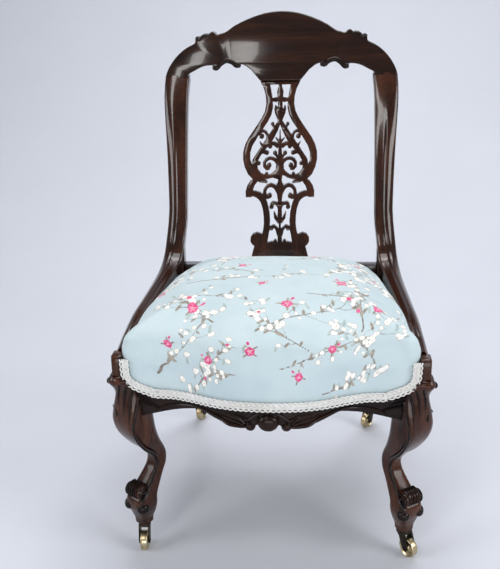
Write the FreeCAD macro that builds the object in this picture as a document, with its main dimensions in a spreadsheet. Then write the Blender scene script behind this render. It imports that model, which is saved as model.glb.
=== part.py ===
import FreeCAD, Part
import math
import os
import Sketcher

# A Victorian balloon back nursing chair: carved show-wood frame, pierced fret splat, stuffed seat, brass castors.
# X runs across the chair, Y from front to back, Z up. Left is -X and right is +X, seen from the front.

V = FreeCAD.Vector
doc = FreeCAD.newDocument("BalloonBackChair")

# Driving dimensions in millimetres and degrees

SIZES = {
    # how far a stepped outline may leave its smooth curve
    "chord": 0.4, "fret_chord": 0.85,
    # the raked and bowed plane of the back
    "back_y": 205, "back_z": 500, "back_rake": 15.75, "back_bow": 2700, "back_thick": 28,
    # crest rail
    "crest_top": 901, "crest_joint": 777, "crest_foot": 770, "crest_half": 232.5, "crest_foot_half": 40.5,
    # fret splat
    "splat_half": 68.5, "splat_thick": 11, "tenon_long": 14, "tenon_thick": 6, "glue_gap": 0.1,
    # uprights and the sweeps that carry them forward
    "upright_wide": 48.5, "upright_waist": 37, "sweep_wide": 26, "sweep_deep": 40, "bead_round": 7,
    # seat frame
    "seat_rail_top": 372, "seat_rail_base": 312, "rail_thick": 22, "ledge_wide": 12,
    "rear_rail_top": 418, "rear_rail_base": 345, "rear_rail_thick": 24, "rear_rail_y": 186,
    "front_y": -246, "serpentine": 43, "front_rail_thick": 27, "show_line": 309, "rebate": 3,
    # front legs
    "leg_x": 229, "leg_y": -174, "leg_turn": 34, "knee_reach": 10, "ankle_reach": -41,
    "knee_wide": 50, "ankle_wide": 25, "toe_wide": 34, "foot_top": 50, "foot_wide": 25,
    "block_out": 259.5, "block_wide": 27, "block_base": 343, "block_top": 380, "neck_wide": 40, "leaf_wide": 40,
    # rear legs
    "rear_foot_x": 196, "rear_foot_y": 292, "rear_leg_wide": 34, "rear_leg_deep": 37, "rear_foot_wide": 28,
    # seat
    "seat_crown": 458, "seat_edge": 404, "cover_thick": 2.2, "soft_gap": 0.3, "web_wide": 50, "web_thick": 2,
    "hessian_thick": 1, "braid_wide": 14, "braid_thick": 2.6,
    # castors
    "plate_round": 24, "plate_thick": 3, "spigot_round": 8, "swivel_gap": 0.05, "swivel_play": 0.2,
    "crown_round": 22, "crown_thick": 4.5, "horn_trail": 13, "cheek_thick": 3.2, "cheek_round": 12,
    "wheel_round": 35, "wheel_wide": 12.6, "wheel_play": 0.4, "axle_round": 5, "axle_gap": 0.05,
    "pintle_long": 22, "pintle_round": 6,
    "swivel_front_left": 4, "swivel_front_right": 38, "swivel_rear_left": 160, "swivel_rear_right": -35,
    "corner_block_leg": 75, "corner_block_tall": 30,
}

sheet = doc.addObject("Spreadsheet::Sheet", "Sizes")
for row, (name, value) in enumerate(SIZES.items(), start=1):
    sheet.set(f"A{row}", name)
    sheet.set(f"B{row}", str(value))
    sheet.setAlias(f"B{row}", name)
doc.recompute()


class Dim:
    """A length that carries its number and the expression that binds it to the sheet."""

    def __init__(self, value, text):
        self.value = value
        self.text = text

    def __add__(self, other):
        other = as_dim(other)
        return Dim(self.value + other.value, f"({self.text} + {other.text})")

    def __sub__(self, other):
        other = as_dim(other)
        return Dim(self.value - other.value, f"({self.text} - {other.text})")

    def __mul__(self, factor):
        return Dim(self.value * factor, f"({self.text} * {factor})")

    def __truediv__(self, factor):
        return Dim(self.value / factor, f"({self.text} / {factor})")

    def __neg__(self):
        return Dim(-self.value, f"(-{self.text})")


def as_dim(number):
    return number if isinstance(number, Dim) else Dim(number, f"({number})")


def size(name):
    return float(sheet.get(name))


def bound(name):
    return Dim(size(name), f"Sizes.{name}")


nodes = {}


def keep(obj, name):
    """Registers a finished sub-part under the name of its node."""
    obj.Label = name
    nodes[name] = obj
    return obj


def keep_shape(name, shape):
    """A sub-part whose form is free and comes straight from Part's own functions."""
    obj = doc.addObject("Part::Feature", name)
    obj.Shape = shape
    return keep(obj, name)


# Small geometry helpers


def spline(points, start=None, end=None):
    curve = Part.BSplineCurve()
    if start is None:
        curve.interpolate(Points=points)
    else:
        curve.interpolate(Points=points, InitialTangent=start, FinalTangent=end)
    return curve


def polygon(points):
    return Part.makePolygon(points + [points[0]])


def chords(points, start=None, end=None, sag="chord"):
    """A smooth curve through the points as short straight steps, without its last point."""
    return spline(points, start, end).toShape().discretize(QuasiDeflection=size(sag))[:-1]


def round_polygon(centre, radius, side_a, side_b, corners=10):
    """Many-sided stand-in for a small round, in the plane of two directions."""
    points = []
    for index in range(corners):
        angle = 2 * math.pi * (index + 0.5) / corners
        points.append(centre + side_a * (radius * math.cos(angle)) + side_b * (radius * math.sin(angle)))
    return polygon(points)


def prism(wire, direction):
    return Part.Face(wire).extrude(direction)


def box(x0, x1, y0, y1, z0, z1):
    return Part.makeBox(x1 - x0, y1 - y0, z1 - z0, V(x0, y0, z0))


def mirrored(shape):
    """The same piece for the other side of the chair."""
    return shape.mirror(V(0, 0, 0), V(1, 0, 0))


def blend(stations, t):
    """Straight-line reading of a table of (t, value) pairs."""
    for (t0, v0), (t1, v1) in zip(stations, stations[1:]):
        if t <= t1:
            return v0 + (v1 - v0) * (t - t0) / (t1 - t0)
    return stations[-1][1]


# The back lies on one arc, seen from the side: raked at the seat and bowed backwards towards the crest

RAKE = math.radians(size("back_rake"))
BOW = size("back_bow")
BOW_Y = size("back_y") + BOW * math.cos(RAKE)
BOW_Z = size("back_z") - BOW * math.sin(RAKE)
BACK_THICK = size("back_thick")


def back_y(z, offset=0.0):
    """Y of the back's middle surface at a height; a positive offset moves towards the sitter."""
    radius = BOW + offset
    return BOW_Y - math.sqrt(radius ** 2 - (z - BOW_Z) ** 2)


def back_point(z, offset=0.0):
    """Point square off the middle surface, (y, z), starting from the middle surface at height z."""
    angle = math.asin((z - BOW_Z) / BOW)
    radius = BOW + offset
    return BOW_Y - radius * math.cos(angle), BOW_Z + radius * math.sin(angle)


def back_slab(thick, half_wide, z0, z1, middle_x=0):
    """A bent board on the arc of the back, in flats too short to tell from the arc."""
    flats = max(1, round((z1 - z0) / (2 * BACK_THICK)))
    heights = [z0 + (z1 - z0) * index / flats for index in range(flats + 1)]
    low_x = middle_x - half_wide
    front = [V(low_x, back_y(z, thick / 2), z) for z in heights]
    rear = [V(low_x, back_y(z, -thick / 2), z) for z in reversed(heights)]
    return prism(polygon(front + rear), V(2 * half_wide, 0, 0))


def sawn_from_front(outline, thick, half_wide, z0, z1):
    """A piece cut to its front outline out of the bent board."""
    reach = 4 * BACK_THICK + size("back_y")
    far = prism(outline, V(0, 3 * reach, 0))
    far.translate(V(0, -reach / 2, 0))
    return far.common(back_slab(thick, half_wide, z0, z1))


# Fret splat: every bar, scroll and leaf is a tapering stroke on a square grid, 184 steps tall and 34 to each side

SPLAT_ROWS = 184
SPLAT_COLUMNS = 34
GRID_X = size("splat_half") / SPLAT_COLUMNS
GRID_Z = (size("crest_foot") - size("rear_rail_top")) / SPLAT_ROWS

# stations are (across, down, width) in grid steps from the top centre of the splat
SIDE_STROKES = [
    # outer bar from the crest round the balloon, in to its leaf tip
    [(15.5, 0, 9), (12, 12, 6.4), (10.6, 22, 6.8), (11.2, 30, 7.4), (14.6, 38, 7.4), (20.8, 47.5, 7.2),
     (27.4, 57, 7.2), (32.2, 67, 7.4), (33.6, 75, 7.2), (32, 84, 7.4), (27.5, 92.5, 8), (20.5, 98, 6.4), (12.4, 101.6, 1.6)],
    # ear
    [(23.5, 99, 4.4), (28, 103, 6.4), (30.4, 109, 7.4), (31, 116.2, 6.2)],
    # ear's lower arm, running down as the lower bar
    [(31.5, 113.4, 4.6), (25, 112.9, 5.6), (19, 116, 6.4), (15.2, 123, 6.2), (13.2, 133, 6.4), (12.9, 145, 6.4),
     (14.6, 155, 7), (17, 164, 9)],
    # cross link at the neck
    [(8.6, 19.4, 3), (4.4, 19.8, 4.2), (0, 18, 3.4)],
    # tulip leaf
    [(4.7, 24.8, 0.8), (4.3, 29, 3.4), (2.8, 34, 4), (0.8, 39.5, 3)],
    # branch that swings out to the balloon and returns as the ring
    [(0.4, 40.5, 3.4), (3.4, 48, 3.8), (7.6, 56, 4.4), (12.4, 63, 5.2), (18.6, 69.8, 5.2), (23.4, 76.5, 5.6),
     (25.4, 84, 5.6), (23.6, 90.4, 4.8), (18.6, 95, 4.2), (12.2, 96.4, 3.8), (5.8, 93.4, 3.8), (1.2, 87.6, 4)],
    # hooked end inside the ring
    [(13.2, 71.9, 4.2), (16.4, 70.8, 3.8), (20, 72.4, 3)],
    # scroll between branch and balloon
    [(13.6, 63, 3.4), (12.2, 57, 3), (13.8, 52.2, 2.8), (17.2, 50.2, 2.8), (20.2, 52.2, 2.6), (19.2, 55, 2.4)],
    # leaf spur on the branch
    [(16.4, 67, 3.6), (18.6, 64, 2.4), (20.2, 61, 0.8)],
    # upturned curl on the branch
    [(5.4, 53, 3), (5.6, 47.6, 2.5), (7.1, 44.2, 2.2)],
    # plume barbs and the bridge to the branch
    [(0.6, 61.5, 3), (4.6, 56.8, 0.8)],
    [(1, 66, 5), (6, 62.8, 3.8), (11.4, 63, 3.6)],
    # small curls under the plume
    [(0.6, 79, 3), (2.8, 75.6, 2.4), (4.6, 73, 2.2)],
    # volute
    [(1.6, 83, 4.6), (5.2, 78.8, 3.4), (10, 77.4, 3.2), (14.2, 79.6, 3.4), (15.6, 84, 3.4), (13.6, 87.6, 3.2),
     (10.4, 87.2, 2.8)],
    # lower scroll
    [(1.2, 112, 4), (4, 107, 3.8), (8.6, 104.2, 3.8), (13, 106, 3.4), (15.2, 110.4, 3.6), (14.4, 115.4, 3.8),
     (11.2, 116.6, 3.2)],
    # tip of the centre leaf
    [(1.2, 109, 3.4), (3.3, 103, 0.8)],
    # curl on the stem
    [(0.8, 127.5, 3), (3, 123.2, 2.8), (6.4, 121.8, 2.6), (8.8, 124, 2.6)],
    # vee leaf
    [(5.9, 130.8, 0.8), (4.6, 135.6, 3.2), (1.2, 142, 2.4)],
    # lowest curl
    [(1, 155, 3.6), (2.6, 149.4, 3), (5.6, 145.8, 2.8), (8.6, 146.6, 2.4)],
]
STEM_STROKES = [
    # stem, bud and tulip
    [(0, 1, 4), (0, 8, 4.4), (0, 12.4, 7), (0, 17, 5.4), (0, 24, 4.8), (0, 30, 4.4), (0, 36, 6.6), (0, 42, 3.6)],
    # plume down to the ring
    [(0, 49.4, 0.8), (0, 54, 3.4), (0, 62, 7.4), (0, 67, 5.6), (0, 73, 4.2), (0, 81, 6), (0, 88, 8.4), (0, 93, 5.4),
     (0, 99, 3.8), (0, 103, 3.8), (0, 107, 7), (0, 112, 6.4), (0, 119, 4.2), (0, 130, 3.4), (0, 137, 4.6), (0, 142, 2.8),
     (0, 148, 2.6), (0, 152, 6), (0, 156, 4.2), (0, 164, 4.6)],
]
# round eyes and knobs, (across, down, radius)
KNOBS = [
    (18.3, 55.6, 2.5), (7.5, 43.4, 1.8), (9.8, 65.6, 2.3), (13, 72, 2.2), (5, 72.3, 2.2), (10.8, 84.6, 2.5),
    (21.2, 82.6, 2), (13.4, 93.2, 1.9), (10.4, 114.9, 2.6), (8.2, 126, 2.3), (8.2, 147.6, 2.2), (4.6, 160.8, 1.8),
    (22.8, 159, 7),
]
# solid foot of the splat, down to its shoulder on the rear rail
FOOT_OUTLINE = [(0, 162), (8, 161.2), (12, 162.2), (24.5, 163), (25.8, 166.5), (27, 171), (28.4, 177), (29.4, SPLAT_ROWS)]
HEAD_ROWS = 4.5


def on_grid(across, down):
    return V(across * GRID_X, 0, size("crest_foot") - down * GRID_Z)


def stroke_face(stations):
    """A flat stroke whose centre line runs smoothly through its stations and whose width tapers between them."""
    centre = [on_grid(across, down) for across, down, width in stations]
    curve = spline(centre)
    sides = ([], [])
    for point, (across, down, width) in zip(centre, stations):
        tangent = curve.tangent(curve.parameter(point))[0]
        normal = V(tangent.z, 0, -tangent.x)
        half = width * (GRID_X + GRID_Z) / 4
        sides[0].append(point + normal * half)
        sides[1].append(point - normal * half)
    down, up = sides[0], list(reversed(sides[1]))
    return Part.Face(polygon(chords(down, sag="fret_chord") + [down[-1]] + chords(up, sag="fret_chord") + [up[-1]]))


def knob_face(across, down, radius):
    return Part.Face(round_polygon(on_grid(across, down), radius * (GRID_X + GRID_Z) / 2, V(1, 0, 0), V(0, 0, 1)))


def merged_outline(faces):
    """One flat face with its holes from overlapping ones: its rim is every edge that bounds one piece only."""
    flat = faces[0].fuse(faces[1:])
    uses = {}
    for face in flat.Faces:
        for edge in face.Edges:
            uses.setdefault(edge.hashCode(), []).append(edge)
    rim = [edges[0] for edges in uses.values() if len(edges) == 1]
    wires = [Part.Wire(group) for group in Part.sortEdges(rim)]
    return Part.makeFace(wires, "Part::FaceMakerBullseye")


def make_splat():
    faces = [stroke_face(stroke) for stroke in SIDE_STROKES + STEM_STROKES]
    faces += [knob_face(*knob) for knob in KNOBS]
    foot = [on_grid(across, down) for across, down in FOOT_OUTLINE]
    faces.append(Part.Face(polygon(foot + [on_grid(0, SPLAT_ROWS)])))
    head_half = size("crest_foot_half")
    head_z = on_grid(0, HEAD_ROWS).z
    head = [on_grid(0, 0), V(head_half, 0, size("crest_foot")), V(head_half - GRID_X * 1.6, 0, head_z),
            V(0, 0, head_z)]
    faces.append(Part.Face(polygon(head)))
    right = [on_grid(0, 0), on_grid(2 * SPLAT_COLUMNS, 0), on_grid(2 * SPLAT_COLUMNS, SPLAT_ROWS),
             on_grid(0, SPLAT_ROWS)]
    half_board = Part.Face(polygon(right))
    faces = [piece for face in faces for piece in face.common(half_board).Faces]
    fret = merged_outline(faces).extrude(V(0, size("back_y") * 2, 0))
    slab = back_slab(size("splat_thick"), size("crest_half"), size("rear_rail_top"), size("crest_foot"))
    half = fret.common(slab)
    return half.fuse([mirrored(half), splat_tenon(True, 0), splat_tenon(False, 0)]).removeSplitter()


def splat_tenon(top, gap):
    """Tongue of the splat in the crest rail or in the rear rail; with a gap it is the mortise."""
    half = size("crest_foot_half") * (0.6 if top else 1.1) + gap
    thick = size("tenon_thick") + 2 * gap
    if top:
        return back_slab(thick, half, size("crest_foot"), size("crest_foot") + size("tenon_long") + gap)
    return back_slab(thick, half, size("rear_rail_top") - size("tenon_long") - gap, size("rear_rail_top"))


# Crest rail: arched top with a scroll tip at each shoulder, C scrolls under the arches


def crest_at(across, up):
    """Point of the crest's front view: across as a share of its half width, up as a share of its rise."""
    return V(across * size("crest_half"), 0, size("crest_joint") + up * (size("crest_top") - size("crest_joint")))


def crest_points(pairs):
    return [crest_at(across, up) for across, up in pairs]


def crest_half_outline():
    """Right half of the outline, from the apex clockwise to the end of the lower edge."""
    arch = crest_points([(0, 1), (0.14, 0.974), (0.28, 0.893), (0.434, 0.75), (0.53, 0.666)])
    tip = crest_points([(0.53, 0.666), (0.565, 0.668), (0.59, 0.705), (0.613, 0.69), (0.618, 0.668)])
    hump = crest_points([(0.618, 0.668), (0.655, 0.678), (0.69, 0.65), (0.702, 0.60)])
    scroll = crest_points([(0.702, 0.60), (0.715, 0.635), (0.738, 0.63), (0.742, 0.575), (0.765, 0.51)])
    shoulder = crest_points([(0.765, 0.51), (0.865, 0.40), (0.945, 0.235), (0.985, 0.10), (1, 0)])
    joint_in = V(size("crest_half") - size("upright_wide"), 0, size("crest_joint"))
    corner = [joint_in] + crest_points([(0.80, 0.045), (0.762, 0.09), (0.695, 0.155), (0.615, 0.188), (0.57, 0.178)])
    low_tip = crest_points([(0.57, 0.178), (0.56, 0.125), (0.532, 0.135), (0.515, 0.185), (0.465, 0.232), (0.415, 0.20),
                            (0.39, 0.15), (0.362, 0.165), (0.35, 0.205)])
    foot_out = V(size("crest_foot_half"), 0, size("crest_foot"))
    inner = crest_points([(0.35, 0.205), (0.272, 0.14), (0.208, 0.02)]) + [foot_out]
    outline = chords(arch, V(1, 0, 0), V(1, 0, -0.12))
    for run in (tip, hump, scroll, shoulder):
        outline += chords(run)
    outline.append(shoulder[-1])
    for run in (corner, low_tip, inner):
        outline += chords(run)
    return outline + [foot_out]


def make_crest():
    right = crest_half_outline()
    left = [V(-point.x, point.y, point.z) for point in reversed(right[1:])]
    low = size("crest_foot") - BACK_THICK
    outline = polygon(right + left)
    crest = sawn_from_front(outline, BACK_THICK, size("crest_half") + BACK_THICK, low, size("crest_top") + BACK_THICK)
    return crest.cut(splat_tenon(True, size("glue_gap")))


# Uprights and sweeps: one moulded ribbon that comes down the back, bends forward and runs to the front leg

RIBBON_UP = [
    # height on the back, outer X as a share of the crest's half width, width share of waist to top
    (800, 0.985, 1.0), (777, 1.0, 1.0), (732, 1.008, 0.87), (637, 0.985, 0.35), (541, 0.968, 0.0), (505, 0.972, 0.04),
]
RIBBON_ALONG = [
    # y, z, outer X as a share of the block's outer X, width share (0 sweep, 1 waist), depth share (0 back, 1 sweep)
    (180.5, 474, 0.885, 1.0, 0.25), (161, 448.5, 0.896, 0.95, 0.55), (128, 433, 0.908, 0.8, 0.8), (80, 424, 0.922, 0.6, 1.0),
    (0, 416, 0.946, 0.35, 1.0), (-70, 410, 0.966, 0.2, 0.95), (-125, 399, 0.979, 0.08, 0.8), (-158, 388.5, 0.99, 0.0, 0.6),
    (-182, 382.5, 0.996, 0.0, 0.5), (-205, 379.5, 1.0, 0.0, 0.4),
]


def ribbon_stations():
    """(y, z, outer X, width, depth) down the front face of the upright and along the top of the sweep."""
    rows = []
    waist, top = size("upright_waist"), size("upright_wide")
    for z, out, share in RIBBON_UP:
        y, face_z = back_point(z, BACK_THICK / 2)
        rows.append((y, face_z, out * size("crest_half"), waist + (top - waist) * share, BACK_THICK))
    slim, deep = size("sweep_wide"), size("sweep_deep")
    for y, z, out, wide, depth in RIBBON_ALONG:
        rows.append((y, z, out * size("block_out"), slim + (waist - slim) * wide, BACK_THICK + (deep - BACK_THICK) * depth))
    return rows


def ribbon_section(place, wide, deep, normal, slope):
    """Moulded section: eased outer bead, a face that falls to the inner edge, square back."""
    bead = size("bead_round")

    def at(across, down):
        return V(place.x - across, place.y - normal[0] * down, place.z - normal[1] * down)

    ease = bead * (1 - math.cos(math.pi / 4))
    return polygon([at(1.5, deep), at(0, bead), at(ease, ease), at(bead, 0), at(wide - bead / 2, slope),
                    at(wide - ease / 2, slope + ease / 2), at(wide, slope + bead / 2), at(wide, deep)])


def smooth_rows(places, extents, steps):
    """Reads two smooth curves, of places and of extents, at even steps between their stations."""
    numbers = [float(index) for index in range(len(places))]
    place_curve, extent_curve = Part.BSplineCurve(), Part.BSplineCurve()
    place_curve.interpolate(Points=places, Parameters=numbers)
    extent_curve.interpolate(Points=[V(pair.x, pair.y, t) for pair, t in zip(extents, numbers)], Parameters=numbers)
    rows = []
    for index in range(steps + 1):
        t = numbers[-1] * index / steps
        rows.append((place_curve.value(t), extent_curve.value(t), place_curve.tangent(t)[0]))
    return rows


def make_ribbon():
    stations = ribbon_stations()
    places = [V(out, y, z) for y, z, out, wide, deep in stations]
    extents = [V(wide, deep, 0) for y, z, out, wide, deep in stations]
    wires = []
    for place, extent, tangent in smooth_rows(places, extents, 2 * len(stations)):
        along = V(0, tangent.y, tangent.z).normalize()
        slope = blend([(size("crest_joint") - 45, 4.5), (size("crest_joint"), 1.5)], place.z)
        wires.append(ribbon_section(place, extent.x, extent.y, (along.z, -along.y), min(4.5, slope)))
    return Part.makeLoft(wires, True, True)


def ribbon_underside(lift, y0, y1):
    """Points along the bottom of the sweep between two y values, raised into it by the lift, front to back."""
    stations = ribbon_stations()
    path = spline([V(0, y, z) for y, z, out, wide, deep in stations])
    points = []
    for y, z, out, wide, deep in stations[len(RIBBON_UP):]:
        tangent = path.tangent(path.parameter(V(0, y, z)))[0]
        under = V(0, y - tangent.z * (deep - lift), z + tangent.y * (deep - lift))
        if y0 < under.y < y1:
            points.append(under)
    return list(reversed(points))


def far_side(y, z, direction):
    """Everything beyond a plane through (y, z), on the side its direction (dy, dz) points to."""
    large = 3 * size("crest_top")
    along = V(0, direction[0], direction[1]).normalize() * large
    across = V(0, -along.z, along.y)
    start = V(-large, y, z)
    corners = [start + across, start - across, start - across + along, start + across + along]
    return prism(polygon(corners), V(2 * large, 0, 0))


RIBBON = make_ribbon()
BEND = (RIBBON_ALONG[1][0], RIBBON_ALONG[1][1])
BEND_DIRECTION = (-0.78, -0.62)


# Rear legs: raked square tapers that grow out of the bend of the upright


def chamfered_square(x, y, z, wide, deep, turn=0.0, ease=0.12):
    """Level section with eased corners, turned about its own centre."""
    cut = ease * min(wide, deep)
    half_x, half_y = wide / 2, deep / 2
    corners = [(half_x, -half_y + cut), (half_x, half_y - cut), (half_x - cut, half_y), (-half_x + cut, half_y),
               (-half_x, half_y - cut), (-half_x, -half_y + cut), (-half_x + cut, -half_y), (half_x - cut, -half_y)]
    angle = math.radians(turn)
    points = [V(x + a * math.cos(angle) - b * math.sin(angle), y + a * math.sin(angle) + b * math.cos(angle), z)
              for a, b in corners]
    return polygon(points)


def make_rear_leg():
    foot_z, rail_z = size("foot_top"), size("seat_rail_top")
    rail_y = size("rear_rail_y") + 2
    head_x = size("crest_half") * 0.985 - size("upright_waist") / 2
    sections = []
    for share in (0, 0.1, 0.2, 0.32, 0.45, 0.6, 0.8, 1.0):
        y = rail_y + (size("rear_foot_y") - rail_y) * (1 - share) ** 1.6
        x = size("rear_foot_x") + (head_x - size("rear_foot_x")) * share
        wide = size("rear_foot_wide") + (size("rear_leg_wide") - size("rear_foot_wide")) * share
        deep = size("rear_foot_wide") + (size("rear_leg_deep") - size("rear_foot_wide")) * share ** 0.7
        sections.append(chamfered_square(x, y, foot_z + (rail_z - foot_z) * share, wide, deep, 0, 0.08))
    crown_z = size("back_z") - 2 * BACK_THICK
    wide, deep = size("rear_leg_wide"), size("rear_leg_deep")
    sections.append(chamfered_square(head_x, rail_y + 1, crown_z, wide, deep * 0.9, 0, 0.08))
    top_z = size("back_z") - BACK_THICK / 2
    sections.append(chamfered_square(head_x, back_y(top_z) + 1, top_z, wide * 0.8, BACK_THICK * 0.6, 0, 0.08))
    return Part.makeLoft(sections, True, True)


def make_back_post():
    """Right upright with its rear leg, one sawn piece."""
    upright = RIBBON.cut(far_side(BEND[0], BEND[1], BEND_DIRECTION))
    upright = upright.cut(far_side(0, size("crest_joint"), (0, 1)))
    joint, long, waist = size("crest_joint"), size("tenon_long"), size("upright_waist")
    middle = size("crest_half") - size("upright_wide") / 2
    tenon = back_slab(size("tenon_thick") + 2, waist / 2, joint - long, joint + long, middle)
    post = upright.fuse([make_rear_leg(), tenon]).removeSplitter()
    return post.cut(pintle_bore(size("rear_foot_x"), size("rear_foot_y")))


def pintle_bore(x, y):
    """Square hole up the foot for the castor's tapered spike."""
    half = size("pintle_round") / 2 + size("glue_gap")
    foot = size("foot_top")
    return box(x - half, x + half, y - half, y + half, foot - 1, foot + size("pintle_long") + 1)


def block_rear_y():
    return size("leg_y") - 2


def make_sweep(post):
    sweep = RIBBON.common(far_side(BEND[0], BEND[1], BEND_DIRECTION))
    sweep = sweep.cut(far_side(block_rear_y(), 0, (-1, 0)))
    x, y, z = size("block_out") - size("block_wide") / 2, block_rear_y(), size("block_top") - 8
    long, thick = size("tenon_long"), size("tenon_thick")
    return sweep.fuse(box(x - thick, x + thick, y - long, y + long, z - 2 * thick, z)).cut(post)


# Front legs: cabriole, set cornerwise, with a scroll toe


def leg_point(reach, z, across=0.0):
    """A point of the right leg's own plane, which is turned outwards from straight ahead."""
    turn = math.radians(size("leg_turn"))
    return V(size("leg_x") + reach * math.sin(turn) + across * math.cos(turn),
             size("leg_y") - reach * math.cos(turn) + across * math.sin(turn), z)


def leg_stations():
    """(height, reach, side of the square, turn share, shift share towards the block) from the foot to the block."""
    knee, ankle = size("knee_reach"), size("ankle_reach")
    knee_wide, ankle_wide = size("knee_wide"), size("ankle_wide")
    neck, leaf = size("neck_wide"), size("leaf_wide")
    toe, foot, base, block = size("toe_wide"), size("foot_wide"), size("foot_top"), size("block_base")
    return [(base, 0, foot, 1, 0), (base + 13, 0, foot + 1.5, 1, 0), (base + 28, -1, toe - 3, 1, 0),
            (base + 50, 2, toe + 2, 1, 0), (base + 72, ankle * 0.3, toe + 1, 1, 0),
            (base + 88, ankle * 0.66, toe - 5, 1, 0), (base + 104, ankle * 0.93, ankle_wide + 1, 1, 0),
            (base + 118, ankle * 0.98, ankle_wide + 1, 1, 0), (base + 135, ankle * 0.76, ankle_wide + 6, 1, 0),
            (base + 155, ankle * 0.33, knee_wide * 0.8, 1, 0), (base + 182, knee * 0.3, knee_wide * 0.96, 1, 0),
            (base + 212, knee, knee_wide, 1, 0), (base + 235, knee * 0.8, knee_wide * 0.88, 0.7, 0.05),
            (block - 38, knee * 0.6, neck, 0.4, 0.1), (block - 21, knee * 0.3, (neck + leaf) / 2, 0.2, 0.55),
            (block - 7, 0, leaf, 0, 1), (block + 1, 0, leaf - 4, 0, 1)]


def upholstered_front(x_reach, margin=0.0):
    """Front view of what the cover hides: above the show-wood line, and inside the blocks."""
    show, block_in = size("show_line") + margin, size("block_out") - size("block_wide") - margin
    turn_x = block_in - 38
    tall = size("crest_top")
    right = [(turn_x, show), (turn_x + 13, show + 6), (turn_x + 28, show + 20), (block_in, show + 38)]
    right = [(min(x, x_reach), z) for x, z in right]
    points = [V(x, 0, z) for x, z in right] + [V(block_in, 0, tall), V(-block_in, 0, tall)]
    points += [V(-x, 0, z) for x, z in reversed(right)]
    return polygon(points)


def front_view_prism(wire, y0, y1):
    solid = prism(wire, V(0, y1 - y0, 0))
    solid.translate(V(0, y0, 0))
    return solid


def make_front_leg():
    block_middle = V(size("block_out") - size("block_wide") / 2, block_rear_y() - size("block_wide") / 2, 0)
    places, extents = [], []
    for z, reach, side, turn, shift in leg_stations():
        places.append(leg_point(reach, z) * (1 - shift) + V(block_middle.x, block_middle.y, z) * shift)
        extents.append(V(side, turn, 0))
    sections = []
    for place, extent, tangent in smooth_rows(places, extents, len(places) + 2):
        turn = size("leg_turn") * extent.y
        sections.append(chamfered_square(place.x, place.y, place.z, extent.x, extent.x, turn, 0.2))
    leg = Part.makeLoft(sections, True, True)
    radius = size("toe_wide") * 0.42
    across, up = leg_point(0, 0, 1) - leg_point(0, 0), V(0, 0, 1)
    scroll = round_polygon(leg_point(14, size("foot_top") + 74, -radius), radius, across.cross(up), up, 12)
    leg = leg.fuse(prism(scroll, across * (2 * radius)))
    leg = leg.cut(front_view_prism(upholstered_front(size("block_out")), 2 * size("front_y"), 0))
    out, wide, rear = size("block_out"), size("block_wide"), block_rear_y()
    show = size("show_line")
    block = box(out - wide, out, rear - wide, rear, size("block_base"), size("block_top"))
    front = rear - wide + size("rebate") + 2
    tongue = box(out - 2 * wide + 3, out - 3, front, rear + wide, show - 12, size("seat_rail_top"))
    leg = leg.fuse([block, tongue]).removeSplitter()
    return leg.cut(pintle_bore(size("leg_x"), size("leg_y")))


# Front rail: serpentine in plan, cyma lower edge, carved cabochon at the middle

SERPENTINE_PLAN = [(0, 0), (0.154, 0.06), (0.308, 0.256), (0.46, 0.66), (0.6, 0.96), (0.72, 1.0), (0.9, 1.0)]
RAIL_EDGE = [(0, 0.70), (0.075, 0.71), (0.14, 0.86), (0.2, 0.88), (0.255, 0.82), (0.316, 0.54), (0.39, 0.39), (0.47, 0.31),
             (0.56, 0.37), (0.67, 0.52), (0.74, 0.84), (0.8, 1.0), (0.88, 1.04)]


def serpentine_line(offset, z):
    """Front edge in plan as short steps, left to right; a positive offset moves it back."""
    half = [(share * size("block_out"), size("front_y") + size("serpentine") * bow) for share, bow in SERPENTINE_PLAN]
    points = [V(-x, y + offset, z) for x, y in reversed(half[1:])] + [V(x, y + offset, z) for x, y in half]
    return chords(points) + [points[-1]]


def serpentine_band(front, back, z0, z1):
    """An upright curved board between two offsets from the front edge."""
    plan = serpentine_line(front, z0) + list(reversed(serpentine_line(back, z0)))
    return prism(polygon(plan), V(0, 0, z1 - z0))


def rail_outline():
    show, fall = size("show_line"), size("show_line") - (size("foot_top") + 221)
    half = [(share * size("block_out"), show - fall * drop) for share, drop in RAIL_EDGE]
    points = [V(-x, 0, z) for x, z in reversed(half[1:])] + [V(x, 0, z) for x, z in half]
    top = size("seat_rail_top")
    return polygon(chords(points) + [points[-1], V(points[-1].x, 0, top), V(points[0].x, 0, top)])


def cap(x, z, radius, proud, depth):
    """A domed disc on the front of the rail, seen as a round from the front."""
    front = size("front_y") + size("serpentine") * blend(SERPENTINE_PLAN, abs(x) / size("block_out"))
    rings = [(1.0, -depth), (1.0, proud * 0.2), (0.8, proud * 0.65), (0.45, proud)]
    across, up = V(1, 0, 0), V(0, 0, 1)
    wires = [round_polygon(V(x, front - rise, z), radius * share, across, up, 12) for share, rise in rings]
    return Part.makeLoft(wires, True, True)


def make_front_rail(legs):
    thick, rebate = size("front_rail_thick"), size("rebate")
    low = size("foot_top")
    board = front_view_prism(rail_outline(), size("front_y") - thick, size("leg_y") + 2 * thick)
    show_part = serpentine_band(0, thick, low, size("show_line"))
    tack_part = serpentine_band(rebate, thick, size("show_line"), size("seat_rail_top"))
    rail = board.common(show_part.fuse(tack_part))
    fall = size("show_line") - low - 221
    lobes = [cap(0, size("show_line") - fall * 0.52, 18, 6, thick / 2)]
    lobes += [cap(side * 29, size("show_line") - fall * 0.78, 8.5, 3, thick / 2) for side in (-1, 1)]
    rail = rail.fuse(lobes)
    return rail.cut(legs)


# Side rails under the sweeps, with an inner ledge for the webbing


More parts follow.
